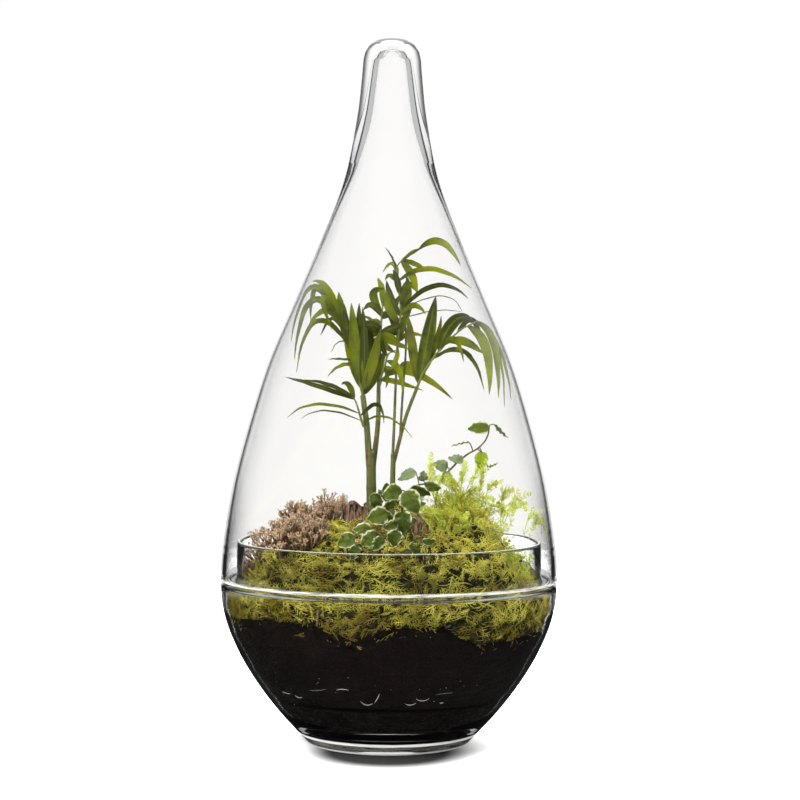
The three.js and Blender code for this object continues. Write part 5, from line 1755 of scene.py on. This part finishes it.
@dataclass
class PalmClumps(Foliage):
    """Two clumps of parlour palm: ringed canes, and fronds of lance-shaped leaflets on thin ribs."""

    # Each cane's stems: path, and radius at the foot and at the top.
    canes: ClassVar[dict[str, list[tuple[Rows, float, float]]]] = {
        "palm_cane_left": [
            ([[-13.2, -2, 104], [-12.8, -2, 150], [-13, -2, 180], [-13.4, -2, 206]], 3.8, 3.4),
            ([[-14.4, -3, 196], [-16.6, -4, 225], [-18.4, -5, 238], [-19.4, -5, 245.5]], 2.5, 1.9),
            ([[-11.8, -1, 196], [-8.6, 1, 225], [-8.2, 3, 251], [-7.4, 3, 284.5]], 2.1, 1.0),
        ],
        "palm_cane_right": [
            ([[2, 3, 104], [1.9, 3, 150], [2.2, 3, 182], [2.6, 3, 204]], 2.2, 1.8),
            ([[2, 3, 198], [3, 2, 225], [3.8, 1, 250], [5, 1, 281]], 1.1, 0.8),
            ([[3, 3, 198], [9.9, -1, 225.6], [14, -3, 238], [17.5, -5, 247], [19, -5.5, 251]], 1.4, 1.2),
            ([[7.2, 1, 215], [8.3, 5, 235], [9.2, 7, 250], [11, 7, 279], [10.4, 7, 300]], 0.9, 0.7),
        ],
    }

    # Each frond's rib, and its leaflets: base, middle, tip, width and roll in degrees.
    fronds: ClassVar[dict[str, tuple[Rows, Rows]]] = {
        "palm_frond_left_high": (
            [[-19.5, -5, 245.95], [-26, -7, 271], [-31, -9, 284], [-36, -10, 299]], [
            [-30.5, -9, 281, -53, -15, 298, -66.7, -18, 262, 6, 50],
            [-34, -9, 293, -56, -8, 313, -68.3, -6, 270.6, 7, 45],
            [-35.6, -9, 298, -56.5, 1, 323, -71, 6, 283.5, 6.5, 50],
            [-35.5, -9, 297, -52, 10, 322, -57, 16, 299, 6.5, 35],
            [-35, -9, 295, -45, -14, 321, -55.5, -18, 326.5, 6.5, 40],
            [-36, -9, 298, -48, -20, 315, -41.5, -24, 292, 6, 35],
            [-31.5, -8, 286, -35, -4, 304, -37, 4, 320, 7.5, 25],
            [-28.5, -8, 278, -31.5, -11, 294, -33, -15, 311, 6, 20],
            [-20.5, -5.5, 250, -25, -10, 281, -28, -13, 312, 8.5, 10],
            [-20.2, -5.5, 249, -22, -5, 281, -22.5, -3, 312, 7.5, 15],
            [-19.8, -5.5, 248, -18.6, -9, 277, -20, -14, 309, 7, 12],
            [-19.5, -5.5, 248, -12.5, -7, 270, -8.5, -7, 291, 8, 15],
            [-27, -7.5, 270, -36, -12, 271.5, -44, -15, 271.5, 3.5, 60],
            [-26.5, -7.5, 267, -35.5, -14, 266.5, -44.3, -20, 259, 4, 50],
            [-30, -8, 284, -37, -12, 283.5, -42.2, -14, 276.4, 2, 60],
            [-27, -7, 272, -26, 8, 286, -30, 20, 296, 6.5, 30],
            [-31, -8, 284, -40, 12, 300, -50, 26, 288, 6.5, 50],
            [-19.6, -5, 247, -15, 3, 272, -15.5, 7, 300, 8, 20],
            [-20.4, -5, 250, -28, 1, 276, -33, 5, 300, 8, 15],
            [-19.5, -5, 246.5, -10, 1, 262, -3, 4, 281, 7, 25],
            [-33.5, -9, 291, -46, -16, 306, -60, -21, 291, 6, 40],
        ]),
        "palm_frond_left_low": (
            [[-18.8, -6.6, 223.5], [-21.5, -9, 232], [-24, -10, 240], [-26, -10.5, 244]], [
            [-25.5, -10, 242.5, -50, -14, 251.5, -75, -18, 258.6, 4.2, 35],
            [-26, -10.5, 244, -43, -18, 252.8, -61.5, -26, 256.4, 3.8, 40],
            [-25.5, -10.5, 243, -29.5, -15, 252.5, -34.8, -20, 253.5, 5, 30],
            [-22, -9, 233, -52, -16, 239, -73, -22, 229.5, 3.6, 55],
            [-20.5, -8.5, 227, -45, -8, 234.5, -63, -4, 229, 2.2, 60],
            [-20.8, -8.5, 231, -9, -13, 239.5, -4.2, -16, 226, 4.2, 45],
            [-19.8, -8, 226, -2, -12, 230.5, 16, -16, 216, 2.8, 55],
        ]),
        "palm_frond_centre": (
            [[-7.4, 3, 284.95], [-6.6, 5, 298], [-5.5, 7, 312]], [
            [-6.8, 4, 302, -13, 5, 310, -19.5, 4, 306.5, 6, 30],
            [-6.5, 5, 305, -12.5, 10, 318, -4.5, 14, 322.5, 6.5, 20],
            [-7.2, 4, 291, -14, 2, 294.5, -22, 0, 296, 6.5, 10],
            [-7.2, 4, 290, 2, -3, 294, 10, -4, 297, 6, 15],
            [-7, 4, 296, -14.5, 8, 300, -21.5, 12, 304, 3.2, 40],
            [-7, 4, 288, 0, -2.4, 287, 8.5, -3.4, 280, 6.5, 20],
            [-6.6, 5, 300, -3, 16, 304, 4, 26, 300, 6, 45],
            [-6.8, 5, 294, -12, 18, 298, -16, 30, 288, 6, 55],
            [-5.8, 7, 309, -6.5, 14, 322, -9.5, 22, 330, 5.5, 30],
            [-6.9, 4, 293, -14, -4, 296, -27, -8, 296, 6.5, 15],
            [-7.3, 3, 286.5, 2, -5, 284, 13, -8, 279, 5.5, 25],
            [-7.4, 3, 285.5, -3, -4, 281, 4, -7, 276, 5, 30],
            [-6.7, 5, 301, 1, 2, 308, 6, -1, 318, 6, 15],
            [-7.1, 3.6, 290, -15, 9, 289, -25, 14, 286, 6, 20],
            [-7.2, 3.4, 288, 1, 8, 291, 10, 12, 288, 6, 20],
            [-7.4, 3, 285.6, -12, 8, 283, -19, 12, 276, 5.5, 25],
        ]),
        "palm_frond_small": (
            [[-7.1, 1.2, 257.6], [-3.6, -3, 268], [-1.4, -4, 275], [6, -5, 279]], [
            [-3.2, -3.4, 270, 6, -8, 264.5, 9, -10, 247, 5, 20],
            [5.5, -5, 278.6, 3.8, -9, 270.5, 0, -12, 263.6, 4, 25],
            [-2, -4, 274, -5.5, -8, 280, -5, -12, 287, 4, 30],
            [-4.4, -2.4, 266, -2, -9, 259, -3, -13, 251, 3.4, 35],
        ]),
        "palm_frond_top": (
            [[5.05, 1, 281.45], [6.2, 1, 292], [7, 1.6, 310], [5, 2.4, 328], [4.4, 3, 338], [8.2, 3, 343]], [
            [20, 4.6, 351, 36, 6, 356.6, 50.2, 6, 338.8, 5.6, 25],
            [6.5, 3, 341.4, 14, 4, 347.5, 25, 5, 353.4, 2.4, 25],
            [5, 3, 337, 0.5, 2, 345, -4, 1, 352, 2.2, 50],
            [8, 3, 342.6, 17, 7, 340.5, 26, 11, 335.5, 4.2, 30],
            [7.5, 3, 342, 15, 4, 332, 18.7, 5, 318.6, 6, 15],
            [4.9, 2.5, 327, 29, 0, 337, 58, -4, 322.8, 4.8, 40],
            [6.6, 1.4, 306, 32, -4, 325, 55.2, -9, 315.5, 4.4, 35],
            [6.6, 1.4, 302, 0.4, -2, 315, -3.2, -4, 328.3, 5.4, 10],
            [6, 1, 297, -1.4, -4, 309, -2.6, -7, 320.9, 6.2, 15],
            [6.6, 2, 318, 4.4, 0, 328, 1.5, -3, 336, 5, 15],
            [5.2, 2.4, 326, -0.5, 2, 331.5, -3.8, 0, 328, 4, 30],
            [7, 1.6, 310, 10.5, -2, 320, 15, -4, 328, 4.6, 20],
            [6.9, 1.6, 307, 36, 6, 317.5, 51, 12, 306, 1.6, 70],
            [6.6, 1.4, 300, 30, 12, 306.5, 50, 20, 306, 1.8, 70],
            [6.8, 1.6, 303, 16, 3, 310.5, 25, 6, 304, 5, 25],
            [6.4, 1.8, 315, 12, 16, 326, 20, 30, 318, 5, 45],
            [5, 2.6, 330, 1, 14, 340, -6, 26, 334, 5, 45],
            [5.2, 1.2, 284, 9, 4, 298, 16, 6, 312, 6, 15],
            [5.8, 1.1, 288, 1, 6, 302, -6, 9, 314, 6.5, 20],
            [6.9, 1.6, 308, 12, 5, 318, 11, 8, 332, 6, 10],
            [5.2, 1.2, 283.5, 14, 3, 290, 25, 6, 287, 5, 40],
        ]),
        "palm_frond_back": (
            [[-8, 5.1, 251.8], [-5, 12, 258], [2, 18, 261]], [
            [-4, 13, 258.6, 16, 19, 262.5, 45, 24, 243, 6.2, 10],
            [-6, 10, 256, 4, 18, 255.6, 24, 26, 249, 4.2, 20],
            [0, 17, 260.5, -4, 32, 264, -14, 44, 252, 5.6, 40],
            [2, 18, 261, 14, 34, 268, 24, 50, 256, 5.6, 40],
        ]),
        "palm_frond_right": (
            [[19.15, -5.55, 251.4], [24, -8, 263], [32, -11, 274.5], [41, -14, 284.5], [50, -16, 293],
             [62, -18, 299.5]], [
            [19.6, -6, 253.6, 15.4, -10, 281, 12.4, -13, 303, 7, 12],
            [20.4, -6.4, 256, 26.5, -13, 287, 32, -18, 317.3, 10, 8],
            [22, -7, 259, 31.6, -8, 282, 36.1, -8, 303, 5, 25],
            [34, -11.6, 277, 44.5, -10, 298.5, 57.5, -8, 301.5, 9, 12],
            [40.5, -14, 284, 53.5, -20, 284.5, 65.7, -24, 276, 6.8, 25],
            [30, -10.4, 271.6, 53, -14, 277.4, 66.9, -16, 250, 4.6, 40],
            [54, -17, 295.4, 68, -22, 280, 70.4, -25, 246.5, 7.4, 25],
            [61, -18, 299, 73.5, -20, 283, 77, -24, 244.1, 5.6, 30],
            [59, -18, 298, 76, -10, 281, 81.5, -8, 238.2, 3.2, 50],
            [61.5, -18, 299.2, 78, -14, 279, 86, -14, 243.6, 3.4, 50],
            [48, -15.6, 291, 58, 4, 300, 66, 18, 284, 6, 45],
            [36, -12.6, 279.4, 46, -30, 286, 52, -42, 270, 5.6, 45],
        ]),
    }

    def cane(self, stems: list[tuple[Rows, float, float]]) -> MeshStock:
        """Stems that thin towards the top, with a swollen ring every 23 mm.

        The radius is the even taper times 1 + 0.03 of a narrow bell round each ring.

        Args:
            stems: the path, and the radius at the foot and at the top, of each.

        Returns:
            The stems.
        """
        stock = MeshStock()
        for path, start, end in stems:
            line = smooth_path(along_sight(path), 90)[None]
            z = line[0, :, 2]
            ring = np.exp(-(((z - 7) % 23 - 11.5) ** 2) / 3.0)
            radii = np.linspace(start, end, 90) * (1 + 0.03 * ring) + 0.05 * lattice_noise(line[0], 4, 2)
            stock.add(tubes(line, radii, 14, woody=ring[None, :, None]))
        return stock

    def build(self) -> None:
        """Builds the canes and then the fronds."""
        for node, stems in self.canes.items():
            self.place(self.cane(stems), f"{node}_ringed", node, CANE)
        for node, (rib, rows) in self.fronds.items():
            self.place(self.grown(along_sight(rib), rows), f"{node}_leaflets", node, PALM)


@dataclass
class CreepingFig(Foliage):
    """Variegated creeping fig: thin brown stems with small round leaves."""

    blade: BladeForm = OVATE_BLADE
    stem_radius: float = 0.9
    stem_rings: int = 48

    # Each stem's path, and its leaves: middle as x, y, z, then length, width, heading and roll in degrees.
    stems: ClassVar[dict[str, tuple[Rows, Rows]]] = {
        "fig_stem_left": (
            [[-6, -72, 134], [-8, -78, 146], [-14, -85, 150], [-21, -89, 148], [-26, -91, 143]], [
            [-30.5, -90, 142, 13.5, 11, 205, 15],
            [-19.4, -87, 150.6, 12.5, 9, 185, 20],
            [-14.4, -91, 143.4, 13.5, 11.5, 215, -15],
            [-24.6, -95, 133.2, 10.5, 8.5, 250, 25],
            [-8, -92, 140, 11, 9, 230, 30],
        ]),
        "fig_stem_middle": (
            [[2, -48, 140], [0, -50, 152], [-4, -51, 162], [-7, -51, 172], [-6.6, -51, 177]], [
            [-8.4, -54, 159.4, 15, 13.5, 195, 10],
            [-9.8, -52, 170.4, 9.5, 10, 262, 5],
            [-6.6, -52, 176.8, 4.5, 4, 120, 20],
            [1.8, -46, 168.5, 9, 7.5, 30, 30],
            [-1, -46, 158, 12, 10, 330, 20],
            [1, -48, 149, 12, 10.5, 300, 10],
            [-6, -47, 150, 11, 9, 220, 25],
        ]),
        "fig_stem_front": (
            [[8, -66, 134], [8, -69, 144], [7, -72, 152], [6, -74, 158]], [
            [9.6, -76, 155.4, 15, 13, 275, 10],
            [3.4, -85, 143.4, 12.5, 11, 250, 20],
            [1, -76, 152.5, 9, 8, 200, 30],
            [13, -69, 146, 12, 10, 310, 15],
            [4, -68, 149, 12, 10, 260, 20],
            [14, -64, 156, 11, 9, 20, 25],
        ]),
        "fig_stem_right": (
            [[8, -30, 146], [9, -33, 158], [10, -33, 170], [16, -31, 180], [26, -28, 183], [33, -26, 183]], [
            [1.8, -36, 176, 14, 12.5, 200, 10],
            [15.6, -37, 169.6, 18, 15.5, 300, 8],
            [12.2, -27, 189, 14, 8, 210, 25],
            [22.2, -33, 177.4, 15, 8.5, 340, 25],
            [31.5, -31, 180.6, 11, 8, 350, 20],
            [24, -25, 188.6, 8, 7, 80, 25],
        ]),
        "fig_stem_low": (
            [[21, -80, 128], [21, -84, 136], [20, -87, 139], [24, -87, 142]], [
            [18.6, -92, 136.6, 11, 9, 255, 15],
            [29, -88, 142, 8, 6.5, 10, 35],
            [12, -93, 134, 8, 6.5, 190, 40],
        ]),
        "fig_runner": (
            [[32, 0, 156], [35, -4, 182], [43, -6, 193], [53, -6, 202.5], [64, -6, 209.6], [69.5, -6, 217],
             [71, -6, 225]], [
            [62.4, -8, 223.2, 13.5, 9, 190, 15],
            [79.4, -5, 220.8, 13, 4.6, 315, 55],
            [50.2, -10, 211.6, 12.5, 2.6, 195, 70],
            [65.2, -8, 199.8, 12, 9.5, 265, 10],
            [47.2, -10, 200.8, 11, 7, 170, 25],
            [36.4, -10, 196.4, 10.5, 9, 160, 15],
            [40.2, -11, 188, 8, 7.5, 235, 15],
            [73.4, -4, 196.6, 8, 3, 20, 60],
        ]),
        "fig_stem_back": (
            [[-8, 48, 144], [-6, 52, 158], [-2, 56, 167], [6, 60, 169], [14, 63, 167]], [
            [-12, 55, 166, 13, 11, 170, -20],
            [-1, 60, 176, 14, 11.5, 100, -15],
            [8, 66, 166, 13, 11, 300, -20],
            [20, 67, 167, 12, 10, 10, -30],
            [-1, 66, 163, 11, 9, 250, -20],
        ]),
    }

    def rows(self, leaves: Rows) -> Rows:
        """Turns middle, length, width, heading and roll into base, middle, tip, width and roll.

        The base and the tip lie half a length from the middle, back and forth along the heading.

        Args:
            leaves: the leaves as they are seen.

        Returns:
            Rows that leaves_on can read.
        """
        made = []
        for x, y, z, length, width, heading, roll in leaves:
            dx, dz = (f(math.radians(heading)) * length / 2 for f in (math.cos, math.sin))
            made.append([x - dx, y + 1.5, z - dz, x, y - 0.5, z, x + dx, y + 1.5, z + dz, width, roll])
        return made

    def build(self) -> None:
        """Builds every leafy stem."""
        for node, (path, leaves) in self.stems.items():
            line = inside_glass(along_sight(path), LEAF_MARGIN)
            self.place(self.grown(line, self.rows(leaves)), f"{node}_leafy", node, FIG)


@dataclass
class Spikemoss(SubAssembly):
    """Sprays of spikemoss: flat feathery fronds with pairs of tiny scale leaves."""

    pairs: int = 6
    branches: int = 5
    loose: int = 20

    # Each spray's root, and its fronds: middle, tip and width.
    sprays: ClassVar[dict[str, tuple[tuple[float, float], Rows]]] = {
        "spikemoss_spray_1": ((27, -16), [
            [[28, -18, 184], [29.4, -18, 201.5], 8], [[34, -21, 178], [38, -25, 188], 8],
            [[21, -22, 170], [18, -26, 177], 8],
        ]),
        "spikemoss_spray_2": ((50, -10), [
            [[51, -12, 184], [53.5, -13, 195], 8], [[46, -15, 178], [43, -16, 185], 8],
            [[57, -18, 176], [61, -24, 180], 8],
        ]),
        "spikemoss_spray_3": ((63, -8), [
            [[65, -10, 182], [66.3, -11, 192], 8], [[70, -12, 178], [76, -14, 182], 9],
            [[66, -20, 172], [67, -29, 172], 9],
        ]),
        "spikemoss_spray_4": ((78, -6), [
            [[87, -10, 168], [96, -12, 168.5], 10], [[80, -8, 170], [82, -9, 177], 8],
            [[80, -18, 162], [82, -28, 160], 9],
        ]),
        "spikemoss_spray_5": ((90, -10), [
            [[99, -12, 157], [106.5, -12, 157], 10], [[104, -14, 154], [108.5, -16, 147], 7],
        ]),
        "spikemoss_spray_6": ((58, 20), [
            [[60, 24, 186], [64, 28, 194], 10], [[50, 28, 180], [44, 34, 184], 10],
        ]),
        "spikemoss_spray_7": ((82, 16), [
            [[90, 20, 164], [98, 24, 166], 10], [[82, 28, 162], [80, 38, 164], 10],
        ]),
        "spikemoss_spray_8": ((40, -36), [
            [[42, -44, 160], [46, -52, 160], 9], [[34, -44, 160], [29, -50, 160], 9],
        ]),
    }

    def scaled(self, paths: Array, reach: Array, face: Array, tone: Array) -> list[Skins]:
        """Thin stems with pairs of scale leaves.

        A scale starts on the stem and points 0.55 along it, 0.9 to one side and a little up. It is a flat
        three-cornered spindle, widest at 0.45 of its length. Its length is the reach times 0.55 + t (1 - t).

        Args:
            paths: the stems' points.
            reach: the longest scale of each stem.
            face: the direction that each stem's flat side looks to.
            tone: each stem's shade.

        Returns:
            The stems and their scales.
        """
        count, steps = paths.shape[:2]
        skins = [tubes(paths, np.linspace(0.24, 0.12, steps), 3, tone)]
        t = np.linspace(0.16, 0.98, self.pairs)
        root, along = stations(paths, t)
        flat = face[:, None]
        side = unit(np.cross(flat, along))
        length = reach[:, None] * (0.55 + t * (1 - t)) * self.random.uniform(0.8, 1.15, (count, self.pairs))
        length = length[..., None]
        for hand in (-1, 1):
            way = unit(0.55 * along + 0.9 * hand * side + 0.2 * flat)
            wide = unit(np.cross(flat, way))
            middle = root + way * 0.45 * length
            corners = (wide * 0.21, flat * 0.09, -wide * 0.21)
            ring = np.stack([middle + s * length for s in corners], axis=2).reshape(-1, 1, 3, 3)
            tips = (root + way * length).reshape(-1, 3)
            share = np.tile(0.35 + 0.6 * t, count)[:, None, None]
            skins.append(Skins.made(ring, root.reshape(-1, 3), tips, share, 0.5, np.repeat(tone, self.pairs)))
        return skins

    def feathers(self, paths: Array, width: Array) -> list[Skins]:
        """Flat fronds: a stem with side branches in a row on either side, all of them with scale leaves.

        A side branch leaves the stem at 50 degrees and bends on towards its tip. It is half the frond's width
        times 0.3 + sin(pi t^0.8) long, over 1.3.

        Args:
            paths: the stems' points.
            width: each frond's width.

        Returns:
            The fronds' stems and scales.
        """
        count = len(paths)
        tone = self.draw(0, 1, count)
        heading = unit(paths[:, 1] - paths[:, 0])
        face = unit(np.cross(heading, self.random.normal(size=(count, 3)) + [0, 0, 0.4]))
        skins = self.scaled(paths, np.full(count, 1.4), face, tone)
        t = np.linspace(0.12, 0.94, self.branches)
        root, along = stations(paths, t)
        side = unit(np.cross(face[:, None], along))
        again = np.repeat(np.arange(count), self.branches)
        s = np.linspace(0, 1, 3)[:, None]
        for hand in (-1, 1):
            length = width[:, None] / 2 * (0.3 + np.sin(np.pi * t**0.8)) / 1.3
            length = length * self.random.uniform(0.75, 1.2, (count, self.branches))
            way = unit(0.64 * along + 0.77 * hand * side + 0.15 * self.random.normal(size=side.shape))
            bend = 0.35 * along[:, :, None] * s**2
            path = root[:, :, None] + (way[:, :, None] * s + bend) * length[:, :, None, None]
            reach = self.draw(1.0, 1.5, len(again))
            skins += self.scaled(path.reshape(-1, 3, 3), reach, face[again], tone[again])
        return [k.drawn_in(1.0) for k in skins]

    def spray(self, x: float, y: float, fronds: Rows) -> MeshStock:
        """The fronds of one root, their side sprigs, and loose sprigs that fill the cushion round them.

        Args:
            x: the root's place, to the right.
            y: the same, away from the eye.
            fronds: middle, tip and width of each.

        Returns:
            The spray.
        """
        ground = float(moss_roof(np.array(x), np.array(y)))
        neck = np.array([x, y, ground + 0.5])
        s = np.linspace(0, 1, 9)[:, None]
        stock = MeshStock().add(tubes(np.linspace([x, y, ground - 4], neck, 4)[None], 0.9, 6))
        at = np.array([3, 4, 4, 5, 6])
        for middle, tip, width in fronds:
            middle, tip = (inside_glass(along_sight(p), 2.0) for p in (middle, tip))
            line = arc(neck, 2 * middle - neck / 2 - tip / 2, tip, s)
            stock.add(*self.feathers(line[None], np.array([float(width)])))
            way = unit(line[at + 1] - line[at])
            heading = np.arctan2(way[:, 1], way[:, 0]) + self.draw(-1.4, 1.4, 5)
            rise = np.arcsin(way[:, 2]) * 0.8 + self.draw(-0.2, 0.5, 5)
            turn, droop = self.draw(-0.5, 0.5, 5), self.draw(0, 0.9, 5)
            paths = curls(line[at], heading, turn, rise, droop, width * self.draw(0.9, 1.6, 5), 7)
            stock.add(*self.feathers(paths, self.draw(4.5, 8, 5)))
        turn, out = self.draw(0, 2 * np.pi, self.loose), 13 * np.sqrt(self.draw(0, 1, self.loose))
        foot_x, foot_y = x + out * np.cos(turn), y + out * np.sin(turn)
        start = np.stack([foot_x, foot_y, moss_roof(foot_x, foot_y) - 1], axis=1)
        heading = turn + self.draw(-0.9, 0.9, self.loose)
        length = self.draw(12, 26, self.loose) * (1 - 0.02 * out)
        rise, droop = self.draw(0.7, 1.45, self.loose), self.draw(0.1, 1.3, self.loose)
        paths = curls(start, heading, self.draw(-0.7, 0.7, self.loose), rise, droop, length, 8)
        return stock.add(*self.feathers(paths, self.draw(5, 9, self.loose)))

    def build(self) -> None:
        """Builds every spray."""
        for node, ((x, y), fronds) in self.sprays.items():
            self.place(self.spray(x, y, fronds), f"{node}_sprigs", node, SPIKEMOSS)


@dataclass
class Studio:
    """A plain pale floor, soft light from above and behind, and the camera."""

    floor_radius: float = 1.25
    foot_radius: float = 0.058
    lens: float = 86.2
    pitch: float = 89.432
    lean: float = -0.37

    def camera(self) -> None:
        """Sets the camera at the eye, tilted down a little."""
        data = bpy.data.cameras.new("studio_camera")
        data.lens, data.sensor_width = self.lens, 36.0
        camera = bpy.data.objects.new("studio_camera", data)
        camera.location = (EYE_X * MM, -EYE_DISTANCE * MM, EYE_Z * MM)
        camera.rotation_euler = (math.radians(self.pitch), math.radians(self.lean), 0)
        bpy.context.scene.collection.objects.link(camera)
        bpy.context.scene.camera = camera

    def board(self) -> bpy.types.Material:
        """White board, bright enough for the eye to be plain white but for the bowl's shadow: lamps cast part
        of it, and a painted contact shadow round the foot, its middle 44 mm to the front, makes the rest.

        Glass mirrors it as dark board. What glass bends down sees it painted dark near the bowl, and a ray
        that has gone through a solid wall only, and not through the hollow of the dome, sees it painted dark
        further out.

        Returns:
            The floor's material.
        """
        material = bpy.data.materials.new("white_board")
        shader = Shader(material)
        camera, through, mirrored, solid = shader.rays()
        x, y, _ = shader.split(shader.place())
        # Painted dark board, seen only through glass: near the bowl, and further out behind solid walls.
        further = solid * (0.35 + 2.0 * (abs(x) / (abs(y) + 0.01)).between(0.25, 0.6))
        near = 1 - (x.hypot(y) - further).between(0.40, 0.50)
        # Painted contact shadow round the foot, its middle 44 mm to the front, seen only by the eye.
        shade = 1 - x.hypot(y + 0.044).between(self.foot_radius - 0.020, self.foot_radius + 0.012)
        tint = (0.9 + 0.6 * camera) * (1 - 0.97 * shade * camera) * (1 - 0.85 * near * through)
        white = shader.node("ShaderNodeBsdfDiffuse", None, {"Color": tint})
        glow = shader.node("ShaderNodeEmission", None, {"Strength": 0.015})
        shader.close(shader.blend(mirrored, white, glow))
        return material

    def floor(self) -> None:
        """A flat round sheet, 4 mm thick, whose top is a hair below the foot."""
        radius, top = self.floor_radius / MM, -0.15
        profile = [[0, top], [radius * 0.2, top], [radius * 0.6, top], [radius, top], [radius, -4], [0, -4]]
        MeshStock().add(turned(np.array(profile, float), 96)).build("studio_floor", self.board())

    def lamp(self, name: str, place: Colour, size: float, power: float) -> None:
        """A square soft lamp that looks at the middle of the plants.

        Args:
            name: its name.
            place: where it hangs, in metres.
            size: the length of its side, in metres.
            power: its power in watts.
        """
        data = bpy.data.lights.new(name, "AREA")
        data.shape, data.size, data.energy = "SQUARE", size, power
        lamp = bpy.data.objects.new(name, data)
        lamp.location = place
        x, y, z = np.array(place) - [0, 0, 0.2]
        lamp.rotation_euler = (math.atan2(math.hypot(x, y), z), 0, math.atan2(x, -y))
        lamp.visible_camera = lamp.visible_transmission = lamp.visible_glossy = False
        bpy.context.scene.collection.objects.link(lamp)

    def world(self) -> None:
        """A white room behind the object and a dim one in front of it.

        What is seen directly is white, and so is what is seen through the glass, but grey where the glass
        bends the sight far aside, and darker through a solid wall. Light that glass has mirrored sees a white
        wall within 18 degrees of straight behind, a dark gap beside it, then a pale room above the horizon,
        and little in front. All other light is the room's soft light, brightest above and behind.
        """
        world = bpy.data.worlds.new("studio_world")
        bpy.context.scene.world = world
        shader = Shader(world)
        x, y, z = shader.split(shader.node("ShaderNodeTexCoord").outputs["Generated"])
        camera, through, mirrored, solid = shader.rays()
        room = 0.55 + 0.75 * z.between(-0.1, 0.8) + 0.6 * y.between(-0.1, 0.9)
        back_share = y / (x * x + y * y + 1e-6) ** 0.5
        beside = (back_share.between(-0.1, 0.35) - back_share.between(0.83, 0.88)) * z.between(0.0, 0.1)
        dim = 0.03 + 0.52 * beside + 0.95 * back_share.between(0.92, 0.955) + 0.5 * z.between(0.72, 0.85)
        sides = (abs(x) - 0.25 * solid).between(0.95, 0.985)
        straight = (abs(y) - 0.25 * solid).between(0.25, 0.6) + sides
        beyond = 0.32 - 0.2 * solid + (0.82 + 0.2 * solid) * straight
        light = room * (1 - through - mirrored - camera) + beyond * through + dim * mirrored + 1.02 * camera
        tint = shader.mix(through, (1.0, 1.0, 1.0), (1.0, 0.980, 0.974))
        back = shader.node("ShaderNodeBackground", None, {"Color": tint, "Strength": light})
        shader.node("ShaderNodeOutputWorld", None, {"Surface": back.outputs[0]})

    def build(self) -> None:
        """Sets up everything that isn't the object."""
        self.camera()
        self.floor()
        self.world()
        self.lamp("soft_key", (-0.5, -0.8, 1.2), 0.7, 26.0)
        self.lamp("soft_back", (0.3, 1.0, 1.2), 0.9, 26.0)
        bpy.context.scene.view_settings.view_transform = "Standard"


def main() -> None:
    """Builds every sub-assembly in order."""
    logging.basicConfig(level=logging.INFO, format="%(name)s: %(message)s")
    parts: list[Studio | SubAssembly] = [
        Studio(), GlassShells(seed=1), Ground(seed=2), MossBed(seed=3), LichenBed(seed=4),
        BarkAndTwigs(seed=5), PalmClumps(seed=6), CreepingFig(seed=7), Spikemoss(seed=8),
    ]
    for part in parts:
        part.build()
        log.info("%s is built", type(part).__name__)


if __name__ == "__main__":
    main()
